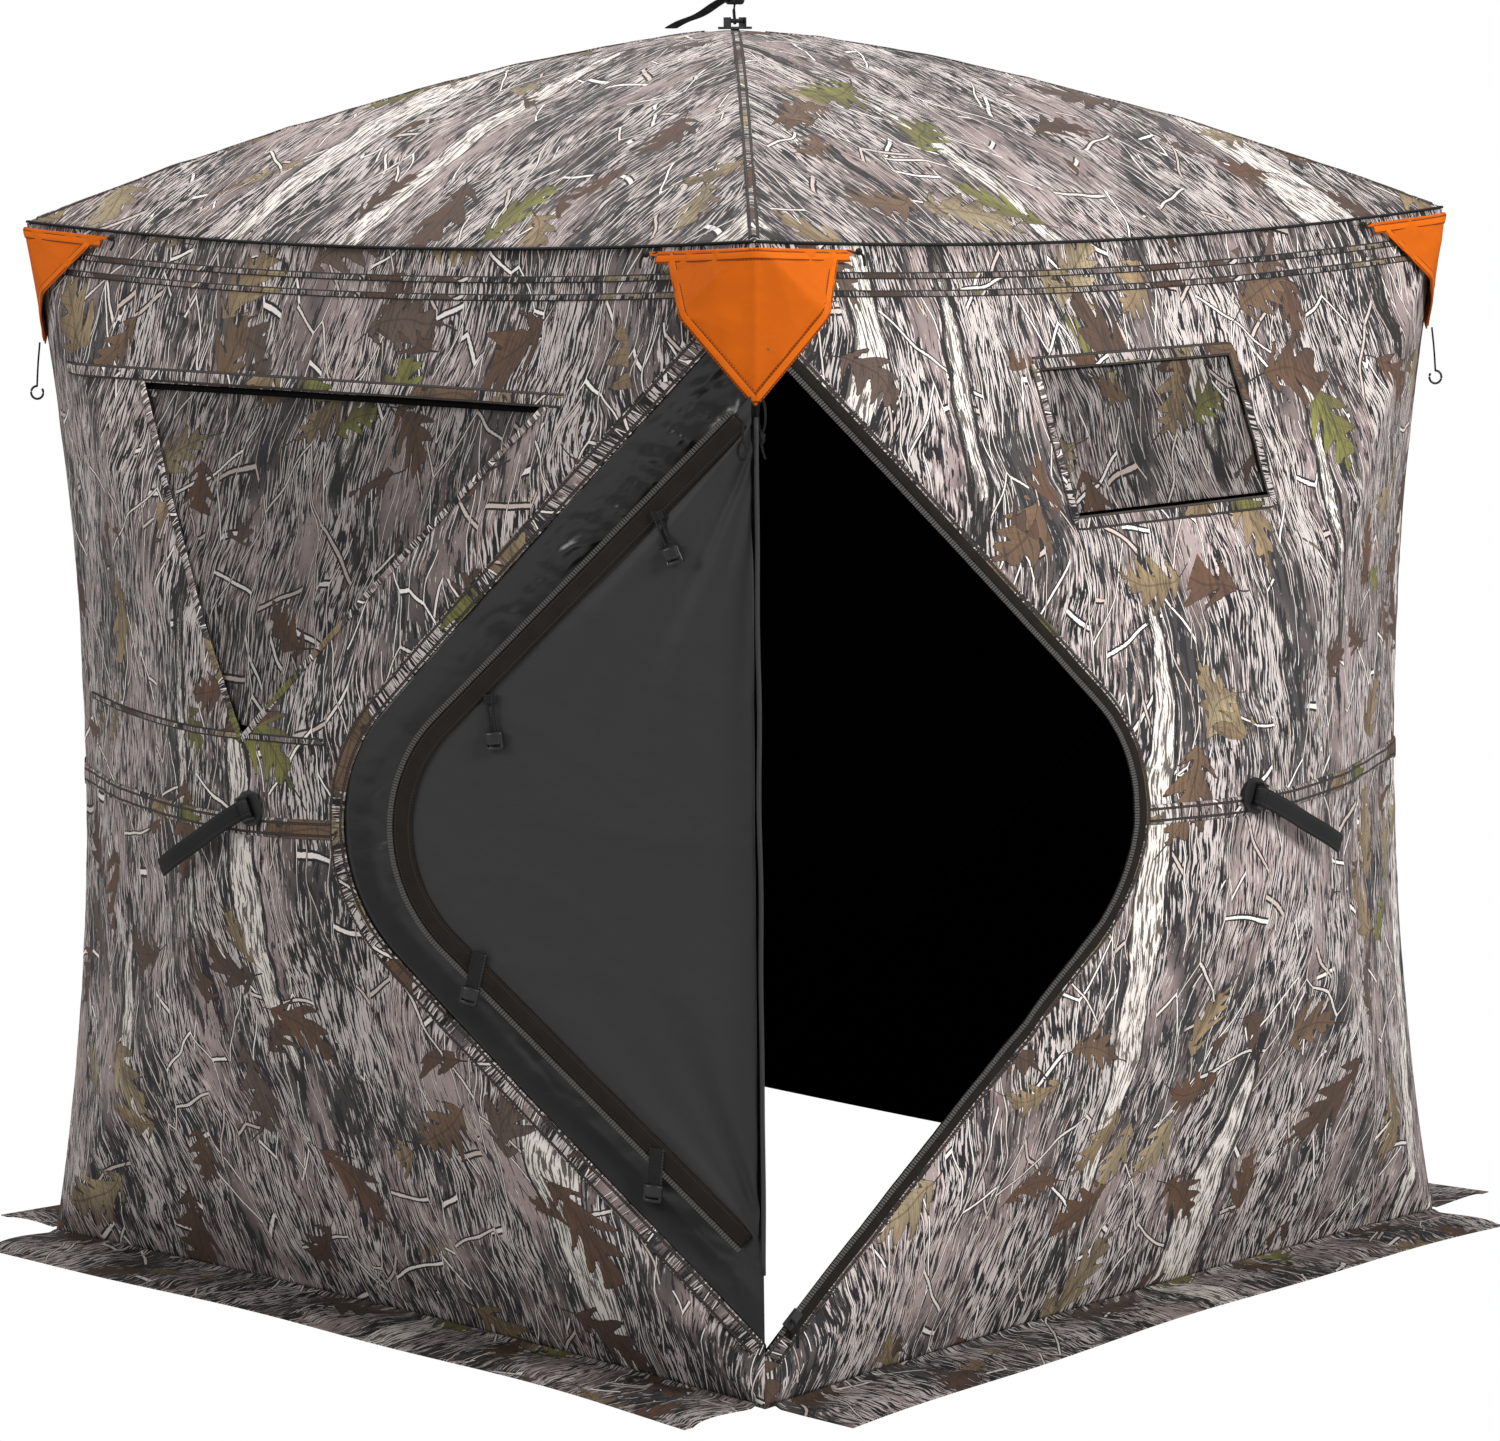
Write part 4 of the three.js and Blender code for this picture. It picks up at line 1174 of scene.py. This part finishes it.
    def sheet_over(self, outline: PolygonOutline, margin: float, lift: float, top: float,
                   folds: Creases) -> tuple[Array, Array, Array]:
        """A grid over an opening: each row spans the opening grown by a margin.

        Rows run from the opening's top down to its lowest corner; their ends lie where the
        opening's sides cross that height.
        """
        corners = np.array(outline.corners)
        low = max(corners[:, 1].min() + 0.012, 0.812)
        z = np.linspace(top, low, 64)
        scan = np.linspace(-0.7, 0.7, 1401)
        far = outline.distance(scan[None, :] + 0 * z[:, None], z[:, None] + 0 * scan[None, :])[0]
        within = np.where(far < margin, scan, np.nan)
        left, right = np.nanmin(within, axis=1), np.nanmax(within, axis=1)
        share = np.linspace(0, 1, 64)[None, :]
        x = left[:, None] * (1 - share) + right[:, None] * share
        zz = np.broadcast_to(z[:, None], x.shape)
        points = turned(self.form.wall_at(x, zz, lift + folds.at(x, zz)), self.side.value)
        uv = np.stack([x, zz], -1).reshape(-1, 2)
        return points.reshape(-1, 3), grid_faces(64, 64)[:, ::-1], uv

    def build_flap(self) -> None:
        """The camouflage flap that closes the window from inside, its top edge a little low."""
        plan = self.plan
        folds = Creases(plan.seed + 5, 0.16, 0.0020)
        name = f"{self.side.word}_window_flap"
        top = plan.window_top - 0.009
        points, faces, uv = self.sheet_over(plan.window, 0.010, FLAP_LIFT, top, folds)
        # The flap's print carries painted shade for its recess.
        sides = [CAMO_FLAP.material(), BLACKOUT.material()]
        piece = mesh_piece(f"{name}_cloth", points, faces, uv, sides)
        area = settled_sheet(piece, name, TWO_LAYERS, two_sided=True)
        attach(piece, f"{self.side.word}_window_net")
        low = float(points[:, 2].min())
        aside = max(abs(x) for x, _ in plan.window.corners)
        rim = self.form.wall_at(np.full(2, aside), np.array([low, top]), FLAP_LIFT)
        rim = turned(rim, self.side.value)
        foot = self.form.wall_at(np.zeros(1), np.array([low]), FLAP_LIFT)
        foot = turned(foot, self.side.value)[0]
        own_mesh(piece)

    def build_net(self) -> None:
        """The fine net behind the flap."""
        name = f"{self.side.word}_window_net"
        plan = self.plan
        folds = Creases(plan.seed + 6, 0.30, 0.0008)
        top = plan.window_top - 0.002
        points, faces, uv = self.sheet_over(plan.window, 0.007, NET_LIFT, top, folds)
        piece = mesh_piece(f"{name}_mesh", points, faces, uv, [NET.material()])
        area = settled_sheet(piece, name, NET_CLOTH)
        self.bend.apply(piece, NET_LIFT)

    def build_rods(self) -> None:
        """Four bowed rods under the ridges, each with a ferrule at the hub."""
        lift = ROD_LIFT + 0 * ROD_SHARES
        for name, s, t in ROD_CORNERS:
            path = self.form.wall(s * ROD_SHARES, t * ROD_SHARES, lift)
            add_rod(f"{self.side.word}_rod_{name}", turned(path, self.side.value), self.bend)


def add_rod(node: str, path: Array, bend: Bend) -> None:
    """A bendy rod along a path from its hub end, in place of its packed bar."""
    radius = np.where(arc_lengths(path) < FERRULE_LENGTH, FERRULE_RADIUS, ROD_RADIUS)
    piece = band_piece(f"{node}_bar", [tube(path, radius, 12)], ROD)
    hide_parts(node)
    bend.apply(piece, ROD_LIFT)


# ---- The roof ---------------------------------------------------------------------------
@dataclass
class Roof:
    """The roof of four gores with seams on its hips, and piping round its edge."""

    form: BlindForm

    def __post_init__(self) -> None:
        """Prepares the roof's creases and its hub's line of travel."""
        self.bend = Bend.on_roof(self.form)
        self.folds = (Creases(71, 0.26, 0.0040), Creases(72, 0.10, 0.0018))

    def cloth(self, x: Array, y: Array, lift: Array | float) -> Array:
        """Places on the creased roof."""
        edge = self.form.half_side - np.maximum(np.abs(x), np.abs(y))
        fade = np.clip(edge / 0.12, 0, 1)
        folds = sum(fold.at(x, y) for fold in self.folds) * fade * fade
        return self.form.roof_at(x, y, folds + lift)

    def build(self) -> None:
        """Builds the roof's cloth, seams, piping and rods."""
        self.build_cloth()
        paths = [resampled(np.array([[0.03 * a, 0.03 * b], [0.69 * a, 0.69 * b]]), 0.01)
                 for _, a, b in ROD_CORNERS]
        hips = [band_on(self.cloth, path, tape_profile(0.014, 0.0013), 0.0002) for path in paths]
        self.bend.apply(band_piece("roof_hip_seams", hips, CAMO_SEAM), BAND_LIFT)
        self.build_piping()
        reach = ROD_SHARES * self.form.half_side
        for name, a, b in ROD_CORNERS:
            path = self.form.roof_at(a * reach, b * reach, ROD_LIFT + 0 * reach)
            add_rod(f"roof_rod_{name}", path, self.bend)
        log.info("built the roof")

    def build_cloth(self) -> None:
        """The cloth; each gore's print runs along its own edge."""
        count = CELLS
        line = np.linspace(-1, 1, count) * self.form.half_side
        x, y = np.meshgrid(line, line, indexing="xy")
        points = self.cloth(x, y, 0.0).reshape(-1, 3)
        faces = grid_faces(count, count)
        corner = points[faces]
        middle = corner.mean(1)
        sideways = np.abs(middle[:, 0]) > np.abs(middle[:, 1])
        along = np.where(sideways[:, None], corner[..., 1], corner[..., 0])
        inward = np.where(sideways[:, None], np.abs(corner[..., 0]), np.abs(corner[..., 1]))
        gore = np.where(sideways, middle[:, 0] > 0, 2 + (middle[:, 1] > 0))
        uv = np.stack([along + 2.3 * gore[:, None], 0.9 - inward], -1)
        piece = mesh_piece("roof_cloth", points, faces, uv.reshape(-1, 2), [CAMO_ROOF.material()])
        lining = self.bend.line(piece)
        area = settled_sheet(piece, "roof_panel")
        self.bend.apply(piece)

    def build_piping(self) -> None:
        """Black piping round the roof edge, following its sag."""
        x = np.linspace(-0.698, 0.698, 120)
        s = x / self.form.half_side
        z = self.form.corner_height - self.form.roof_sag * (1 - s * s) + 0.0005
        front = np.stack([x, -0.7015 + 0 * x, z], -1)
        edges = [tube(turned(front, side.value), 0.0018, 8) for side in Side]
        band_piece("roof_edge_piping", edges, PIPING, ROOT)


# ---- The door ---------------------------------------------------------------------------
@dataclass
class Door:
    """The corner door: a wrinkled inner panel, the folded-back leaf, and the zip."""

    form: BlindForm
    front: Wall
    right: Wall
    slope: float = 0.4
    corner_x: float = 0.680
    corner_depth: float = 0.696
    fold_x: float = 0.6868

    def leaf_at(self, x: Array, z: Array, lift: Array | float) -> Array:
        """Places on the leaf's upright plane."""
        depth = self.corner_depth + self.slope * (self.corner_x - x)
        size = math.hypot(1, self.slope)
        return np.stack([x + self.slope / size * lift, -depth - lift / size, z + 0 * x], -1)

    def ruled(self, outline: Array, fold_x: float, rows: int, ease: float = 1.0) -> tuple[Array, Array]:
        """Plan places on straight lines from an outline to an upright line at fold_x."""
        b = np.linspace(0, 1, rows)[None, :] ** ease
        target = np.linspace(outline[0, 1], outline[-1, 1], len(outline))[:, None]
        x = outline[:, :1] * (1 - b) + fold_x * b
        return x, outline[:, 1:] * (1 - b) + target * b

    def build(self) -> None:
        """Builds the panel, the leaf, the zip halves, the slider pulls and the clips."""
        self.build_panel()
        self.build_leaf()
        self.build_zip()
        self.build_clips()
        self.build_hooks()
        self.build_fold()
        log.info("built the door")

    def build_panel(self) -> None:
        """The inner panel: long soft wrinkles near its top, and creases elsewhere."""
        x, z = self.ruled(FRONT_DOOR.curve(0.694, -0.001, 0.007), 0.695, 90)
        long_folds = Creases(91, 0.052, 0.0085, heading=math.pi / 2 + 0.12, spread=0.14, count=9)
        random_folds = Creases(92, 0.16, 0.0050)
        high = np.clip((z - 0.85) / 0.25, 0, 1)
        far = -FRONT_DOOR.distance(x, z)[0]
        fade = np.clip(far / 0.03, 0, 1) * np.clip((0.70 - x) / 0.05, 0, 1)
        folds = (long_folds.at(x, z) * (0.35 + high) + random_folds.at(x, z) - 0.011) * fade
        points = self.form.wall_at(x, z, np.minimum(folds, 0.004) - 0.0004)
        faces = grid_faces(*x.shape)[:, ::-1]
        uv = np.stack([x, z], -1)
        piece = mesh_piece("door_inner_panel", points, faces, uv, [GUSSET.material()])
        area = settled_sheet(piece, "door_fixed_panel")
        self.front.bend.apply(piece)

    def build_leaf(self) -> None:
        """The leaf, matte, with fans of soft wrinkles from both ends of its fold."""
        outline = LEAF_OUTLINE.curve(self.fold_x, -0.001, 0.007)
        x, z = self.ruled(outline, self.fold_x, 110)
        fans = 0 * x
        for end_z, count, seed in ((outline[0, 1], 17, 5), (outline[-1, 1], 13, 6)):
            rng = np.random.default_rng(seed)
            angle = np.arctan2(np.abs(z - end_z), self.fold_x + 0.03 - x)
            reach = np.hypot(z - end_z, self.fold_x - x)
            wave = np.sin(angle * count + rng.uniform(0, 6))
            wave += 0.5 * np.sin(angle * count * 2.3 + rng.uniform(0, 6))
            fans += 0.0032 * wave * np.exp(-((reach - 0.16) / 0.22) ** 2)
        far = -LEAF_OUTLINE.distance(x, z)[0]
        fade = np.clip(far / 0.04, 0, 1)
        roll = 0.004 * np.exp(-(((self.fold_x - x) / 0.012) ** 2))
        lift = (fans + Creases(95, 0.22, 0.0035).at(x, z)) * fade + roll
        points = self.leaf_at(x, z, lift)
        uv = np.stack([x, z], -1)
        piece = mesh_piece("door_leaf_cloth", points, grid_faces(*x.shape)[:, ::-1], uv,
                           [LEAF_CLOTH.material(), CAMO[Side.RIGHT].material()])
        area = settled_sheet(piece, "door_leaf", TWO_LAYERS, two_sided=True)
        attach(piece, "door_leaf")

    def zip_half(self, surface: Surface, outline: Array, width: float, name: str, body: str) -> None:
        """A tape and its row of teeth along an outline.

        Args:
            surface: what the tape lies on.
            outline: plan points along the zip; the tape lies to the left of their direction.
            width: the tape's width.
            name: start of the pieces' names.
            body: what it moves with.
        """
        middle = outline + width / 2 * leftwards(headings(outline))
        tape = band_on(surface, middle, tape_profile(width, 0.0016), 0.0006)
        self.attach(band_piece(f"{name}_tape", [tape], ZIP_TAPE), body)
        teeth = resampled(outline, 0.0036)
        heading = headings(teeth)
        out = leftwards(heading)
        a = np.array([-1, 1, 1, -1, -1, 1, 1, -1]) * 0.0012
        b = np.array([-1, -1, 1, 1, -1, -1, 1, 1]) * 0.0030 - 0.0026
        c = np.array([0, 0, 0, 0, 1, 1, 1, 1]) * 0.0030 + 0.0004
        plan = teeth[:, None] + a[None, :, None] * heading[:, None] + b[None, :, None] * out[:, None]
        points = surface(plan[..., 0], plan[..., 1], c[None, :] + 0 * plan[..., 0])
        box = np.array([[0, 3, 2, 1], [4, 5, 6, 7], [0, 1, 5, 4],
                        [1, 2, 6, 5], [2, 3, 7, 6], [3, 0, 4, 7]])
        faces = (box[None] + 8 * np.arange(len(teeth))[:, None, None]).reshape(-1, 4)
        coil = [ZIP_COIL.material()]
        row = mesh_piece(f"{name}_teeth", points, faces, plan.reshape(-1, 2), coil, closed=True, smooth=False)
        self.attach(row, body)

    def attach(self, piece: bpy.types.Object, body: str) -> None:
        """Rides the leaf, or stays where it lies on the right wall."""
        if body == "door_leaf":
            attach(piece, body)
        else:
            self.right.bend.apply(piece)

    def build_zip(self) -> None:
        """The zip half on the leaf's edge, the one by the doorway, and the slider's pulls."""
        leaf_edge = LEAF_OUTLINE.curve(0.664, 0.0, 0.007)
        self.zip_half(lambda x, z, lift: self.leaf_at(x, z, lift + 0.002),
                      leaf_edge, 0.025, "leaf_zip", "door_leaf")
        doorway = RIGHT_DOOR.curve(0.668, 0.003, 0.007)
        self.zip_half(lambda x, z, lift: self.right.cloth(x, z, lift + 0.0022),
                      doorway, 0.012, "doorway_zip", "wall")
        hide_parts("zipper_track")
        low = RIGHT_DOOR.curve(0.655)[-1, 1]
        start = self.right.cloth(np.array([-0.655]), np.array([low]), 0.012)[0]
        pull = smooth_path([start, start + [0.006, 0.002, -0.012], start + [0.007, 0.001, -0.034]], 12)
        cord = tube(pull, 0.0021, 8, up=(0, 1, 0))
        band_piece("slider_pull", [cord], CORD, "zipper_slider")

    def build_clips(self) -> None:
        """Toggles that hold the rolled leaf: two short cords with a clip, and two webbing tabs."""
        places = (((0.569, 1.112), (0.588, 1.066), True), ((0.358, 0.878), (0.364, 0.828), True),
                  ((0.341, 0.550), (0.330, 0.503), False), ((0.562, 0.318), (0.558, 0.269), False))
        for number, (first, last, corded) in enumerate(places, 1):
            path = resampled(np.array([first, last]), 0.003)
            if corded:
                straps = [tube(self.leaf_at(path[:, 0] + aside, path[:, 1], 0.0065), 0.0016, 8, (0, 1, 0))
                          for aside in (-0.0035, 0.0035)]
                straps.append(band_on(self.leaf_at, path[:5], tape_profile(0.016, 0.0030), 0.0042))
            else:
                straps = [band_on(self.leaf_at, path, tape_profile(0.019, 0.0034), 0.0045)]
            band_piece(f"leaf_toggle_{number}", straps, WEBBING, "door_leaf")
            along = (path[-1] - path[0]) / np.linalg.norm(path[-1] - path[0])
            across = np.array([-along[1], along[0]])
            body = path[-1] + np.array([[-0.003], [0.012]]) * along
            bar = path[-1] + np.array([[0.015], [0.019]]) * along
            rails = [np.array([body[0], bar[1]]) + aside * across for aside in (-0.0095, 0.0095)]
            parts = [band_on(self.leaf_at, resampled(line, spacing), tape_profile(width, height), lift)
                     for line, spacing, width, height, lift in (
                         (body, 0.003, 0.021, 0.0060, 0.0055), (bar, 0.002, 0.021, 0.0045, 0.0060),
                         (rails[0], 0.003, 0.0036, 0.0045, 0.0060),
                         (rails[1], 0.003, 0.0036, 0.0045, 0.0060))]
            band_piece(f"leaf_buckle_{number}", parts, PLASTIC, "door_leaf")

    def build_hooks(self) -> None:
        """A small ring on a cord at the leaf's top, and a knotted loop inside the doorway's top."""
        angle = np.linspace(0.3, 5.6, 26)
        ring = np.stack([0.008 * np.cos(angle), 0 * angle, 0.011 * np.sin(angle)], -1)
        hung = np.array([[0.695, -0.716, 1.228], [0.693, -0.716, 1.214], [0.692, -0.716, 1.201]])
        parts = [tube(ring + [0.692, -0.716, 1.190], 0.0018, 8, up=(0, 1, 0)), tube(hung, 0.0016, 8)]
        band_piece("leaf_hook", parts, CORD, ROOT)
        loop = np.stack([0.006 * np.sin(angle), 0 * angle, 0.020 * np.cos(angle)], -1)
        knot = np.array([[0.0, 0, 0.004], [0.001, 0, 0], [0.0, 0, -0.006], [-0.001, 0, -0.012]])
        tail = np.array([[-0.001, 0, -0.012], [0.001, 0, -0.020], [0.005, 0, -0.029]])
        tied = np.array([0.700, -0.690, 1.208])
        parts = [tube(loop + [0.700, -0.690, 1.232], 0.0015, 8, up=(0, 1, 0)),
                 tube(knot + tied, np.array([0.0018, 0.0042, 0.0042, 0.0018]), 10),
                 tube(tail + tied, 0.0015, 8)]
        band_piece("doorway_loop", parts, CORD, ROOT)

    def build_fold(self) -> None:
        """The rolled edge at the corner seam, which the leaf folds round."""
        z = np.linspace(0.170, 1.230, 60)
        x, y = 0.6995 + 0.0006 * np.sin(31 * z), -0.6995 + 0.0006 * np.sin(23 * z)
        roll = tube(np.stack([x, y, z], -1), 0.0030, 10)
        band_piece("door_fold_edge", [roll], LEAF_CLOTH, ROOT)


# ---- Corner caps, straps and skirt ------------------------------------------------------
@dataclass
class CornerCap:
    """An orange cap over a corner seam, deep at the seam and narrow at its ends, with a knot
    of elastic cord at each end and a cord with a hook under its tip."""

    form: BlindForm
    node: str
    quarter: int
    reach: float = 0.170
    tip: float = 1.242
    end: float = 1.421
    steepness: float = 1.29

    def surface(self, u: Array, z: Array, lift: Array | float) -> Array:
        """Places round the corner: u metres from the seam, positive on the first wall."""
        t = self.form.wall_parameters(0.7 - np.abs(u), z)[1]
        s = 1 - np.abs(u) / self.form.half_side
        first = turned(self.form.wall(s, t, lift + 0 * u), self.quarter)
        second = turned(self.form.wall(-s, t, lift + 0 * u), self.quarter + 1)
        return np.where(u[..., None] >= 0, first, second)

    @staticmethod
    def away(u: Array) -> Array:
        """How far a place is from the seam, from 0 at it to 1."""
        return 1 - np.exp(-((u / 0.030) ** 2))

    def over(self, u: Array, z: Array, lift: Array | float) -> Array:
        """Places on the cap: tight at the seam, standing off the zip beside it."""
        return self.surface(u, z, 0.0028 + 0.0048 * self.away(u) + lift)

    def lower_edge(self, u: Array) -> Array:
        """The height of the cap's lower edge: straight from the tip, then level at the ends."""
        line = self.tip + self.steepness * np.abs(u)
        return 0.5 * (line + self.end - np.sqrt((line - self.end) ** 2 + 0.008**2))

    def top_edge(self, u: Array) -> Array:
        """The height of the roof edge over a place."""
        s = 1 - np.abs(u) / self.form.half_side
        return self.form.corner_height - 0.0070 - self.form.roof_sag * (1 - s * s)

    def build(self) -> None:
        """Builds the cap, its hem, its knots and its cord."""
        u = np.linspace(-self.reach, self.reach, 121)[:, None]
        v = np.linspace(0, 1, 60)[None, :]
        low, high = self.lower_edge(u), self.top_edge(u)
        z = high * (1 - v) + low * v
        folds = Creases(50 + self.quarter, 0.09, 0.0022).at(u + 0 * v, z) * self.away(u)
        points = self.over(u + 0 * v, z, folds)
        uv = np.stack([u + 0 * v, z], -1)
        piece = mesh_piece(f"{self.node}_cloth", points, grid_faces(121, 60), uv, [ORANGE.material()])
        area = settled_sheet(piece, self.node, CAP_CLOTH)
        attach(piece, ROOT)
        edge_u = np.linspace(-0.80 * self.reach, 0.80 * self.reach, 90)
        low_path = np.stack([edge_u, self.lower_edge(edge_u) + 0.008], -1)
        edge_u = np.linspace(-0.93 * self.reach, 0.93 * self.reach, 90)
        top_path = np.stack([edge_u, self.top_edge(edge_u) - 0.008], -1)
        hems = [band_on(self.over, path, tape_profile(0.013, 0.0013), 0.0012)
                for path in (low_path, top_path)]
        hem = band_piece(f"{self.node}_hem", hems, ORANGE_HEM, ROOT)
        self.build_knots()
        self.build_cord()

    def build_knots(self) -> None:
        """A knotted loop of elastic cord at each end of the cap."""
        strips = []
        for end in (-1, 1):
            u = end * (self.reach + np.array([-0.012, 0.0, 0.009, 0.014, 0.010]))
            z = self.end + 0.004 + np.array([0.0, -0.003, -0.002, -0.009, -0.019])
            path = smooth_path(self.surface(u, z, 0.0085), 22)
            strips.append(tube(path, 0.0017, 8))
            u = end * (self.reach + np.array([0.004, 0.007, 0.010, 0.013]))
            knot = self.surface(u, np.full(4, self.end + 0.002), 0.0095)
            strips.append(tube(knot, np.array([0.0022, 0.0046, 0.0046, 0.0022]), 8))
        band_piece(f"{self.node}_knots", strips, CORD, ROOT)

    def build_cord(self) -> None:
        """A thin cord that hangs from the cap's tip, with a small hook."""
        length = 0.062
        top = self.surface(np.array([0.0]), np.array([self.tip + 0.002]), 0.0085)[0]
        away = turned(np.array([[0.004, -0.004, 0.0]]), self.quarter)[0]
        path = smooth_path([top, top + 0.6 * away + [0, 0, -length / 2], top + away + [0, 0, -length]], 20)
        strip = tube(path, 0.0013, 8, up=(0, 1, 0))
        cord = band_piece(f"{self.node}_cord", [strip], CORD, ROOT)
        angle = np.linspace(math.pi / 2, -1.2 * math.pi, 26)
        centre = path[-1] + [0, 0, -0.008]
        bent = np.stack([0.006 * np.cos(angle), -0.006 * np.cos(angle), 0.009 * np.sin(angle)], -1)
        ring = tube(centre + turned(bent, self.quarter), 0.0016, 8)
        hook = band_piece(f"{self.node}_hook", [ring], PLASTIC, ROOT)


@dataclass
class Skirt:
    """One of the four ground flaps: wavy cloth laid out from the foot of a wall."""

    form: BlindForm
    side: Side
    width: float = 0.150

    def build(self) -> bpy.types.Object:
        """The flap: low waves that grow towards a slightly ragged outer edge."""
        rng = np.random.default_rng(60 + self.side.value)
        x = np.linspace(-0.692, 0.692, 220)[:, None]
        v = np.linspace(0, 1, 28)[None, :]
        phase = rng.uniform(0, 6.28, 6)
        foot = 0.7024 - self.form.base_bow * (1 - (x / 0.7) ** 2)
        ragged = 0.010 * np.sin(3.1 * x + phase[0]) + 0.004 * np.sin(11 * x + phase[1])
        reach = self.width - 0.016 * (1 - (x / 0.7) ** 2) + ragged - 0.012
        wave = np.sin(19 * x + phase[2] + 1.5 * v) + 0.6 * np.sin(43 * x + phase[3] - 2 * v)
        wave = wave + 0.35 * np.sin(87 * x + phase[4])
        growing = (0.25 + 0.75 * v) * np.sin(math.pi * np.clip(v * 1.15, 0, 1)) ** 0.5
        lift = 0.0020 + 0.0034 * (wave + 1.6).clip(0, None) * growing
        crease = 0.004 * np.exp(-((v - 0.04) / 0.05) ** 2)
        points = np.stack(np.broadcast_arrays(x + 0 * v, -(foot + v * reach), lift + crease), -1)
        uv = np.stack(np.broadcast_arrays(x, v * self.width), -1)
        sides = [CAMO_SKIRT.material(), BLACKOUT.material()]
        points = turned(points, self.side.value)
        piece = mesh_piece(f"{self.side.word}_skirt", points, grid_faces(220, 28), uv, sides)
        thicken(piece, TWO_LAYERS, two_sided=True)
        area = settle(piece)
        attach(piece, ROOT)
        return piece


@dataclass
class PullStrap:
    """A flat webbing strap with a sewn fold at its hub end."""

    form: BlindForm
    word: str
    turn: float
    length: float
    drop: float
    lift: float = 0.0

    def build(self) -> None:
        """The strap, built on the front wall or roof and turned to its own."""
        node = f"{self.word}_pull_strap"
        share = np.linspace(0, 1, 60)
        along = 0.005 + self.length * share
        high = 0.0030 + self.lift * (1 - share) ** 1.3 - self.drop * share**2
        high = high + 0.0018 * np.sin(9 * share)
        profile = tape_profile(0.0255, 0.0022, 0.0004)
        out = high[:, None] + profile[None, :, 1]
        rows = np.stack(np.broadcast_arrays(along[:, None], profile[None, :, 0], out), -1)
        strips = [swept(self.place(rows), True, along, profile[:, 0])]
        if self.lift:
            stem = [[0.0, 0.0, -0.004], [0.002, 0.0, 0.5 * self.lift], [0.0, 0.0, self.lift - 0.005]]
            stem = np.array(stem)
            strips.append(tube(self.place(stem), 0.0022, 8))
        piece = band_piece(f"{node}_webbing", strips, WEBBING, node)
        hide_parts(node)
        angle = np.linspace(0.0, 2 * math.pi, 41)[:-1]
        circle = np.stack([np.cos(angle), np.full(40, 0.0), np.sin(angle)], -1)
        section = ((0.0068, -0.0127), (0.0068, 0.0127), (0.0040, 0.0127), (0.0040, -0.0127),
                   (0.0068, -0.0127))
        cross = np.stack([radius * circle + [0, wide, self.lift] for radius, wide in section])
        eye = mesh_piece(f"{node}_eye", self.place(cross), grid_faces(5, 40, True),
                         cross[..., :2].reshape(-1, 2), [WEBBING.material()])
        turn_outwards(eye.data, merge=True)
        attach(eye, node)

    def place(self, local: Array) -> Array:
        """Local places (along, across, out) from the strap's pin, in the row frame."""
        angle = math.radians(self.turn)
        a = local[..., 0] * math.cos(angle) - local[..., 1] * math.sin(angle)
        b = local[..., 0] * math.sin(angle) + local[..., 1] * math.cos(angle)
        out = local[..., 2] + 0.012
        if self.word == "roof":
            return np.stack([a, b, self.form.corner_height + self.form.roof_rise + out], -1)
        depth = self.form.half_side + self.form.wall_bulge - self.form.base_bow / 16
        middle = (self.form.corner_height - self.form.top_gap - self.form.roof_sag) / 2
        return turned(np.stack([a, -(depth + out), middle + b], -1), Side[self.word.upper()].value)


# ---- The whole blind --------------------------------------------------------------------
def finish_packed_nodes() -> None:
    """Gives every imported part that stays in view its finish."""
    finishes = {"hub": PLASTIC, "corner_socket": PLASTIC, "corner_foot": PLASTIC, "zipper_slider": ZIP_METAL}
    for node in [thing for thing in bpy.data.objects if "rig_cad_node" in thing and not thing.hide_render]:
        for word, finish in finishes.items():
            if word in node.name:
                node.data.materials[0] = finish.material()


def main() -> None:
    """Builds the studio, then the blind from its largest cloth to its smallest cords."""
    logging.basicConfig(level=logging.INFO, format="%(message)s")
    studio = Studio()
    studio.add_camera()
    form = BlindForm.from_frame()
    log.info("form %s", form)
    for quarter, place in enumerate(("front_right", "back_right", "back_left", "front_left")):
        size = {} if quarter == 0 else {"reach": 0.198, "tip": 1.272, "steepness": 0.86}
        CornerCap(form, f"corner_cap_{place}", quarter, **size).build()
    walls = {plan.side: Wall(form, plan) for plan in PLANS}
    for wall in walls.values():
        wall.build()
    Roof(form).build()
    Door(form, walls[Side.FRONT], walls[Side.RIGHT]).build()
    skirts = [Skirt(form, side).build() for side in Side]
    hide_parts("ground_skirt")
    for plan in PLANS:
        PullStrap(form, plan.side.word, plan.strap_turn, 0.215, 0.026).build()
    PullStrap(form, "roof", 180.0, 0.120, 0.012, 0.030).build()
    finish_packed_nodes()
    studio.add_floor()
    studio.add_lights()


if __name__ == "__main__":
    main()
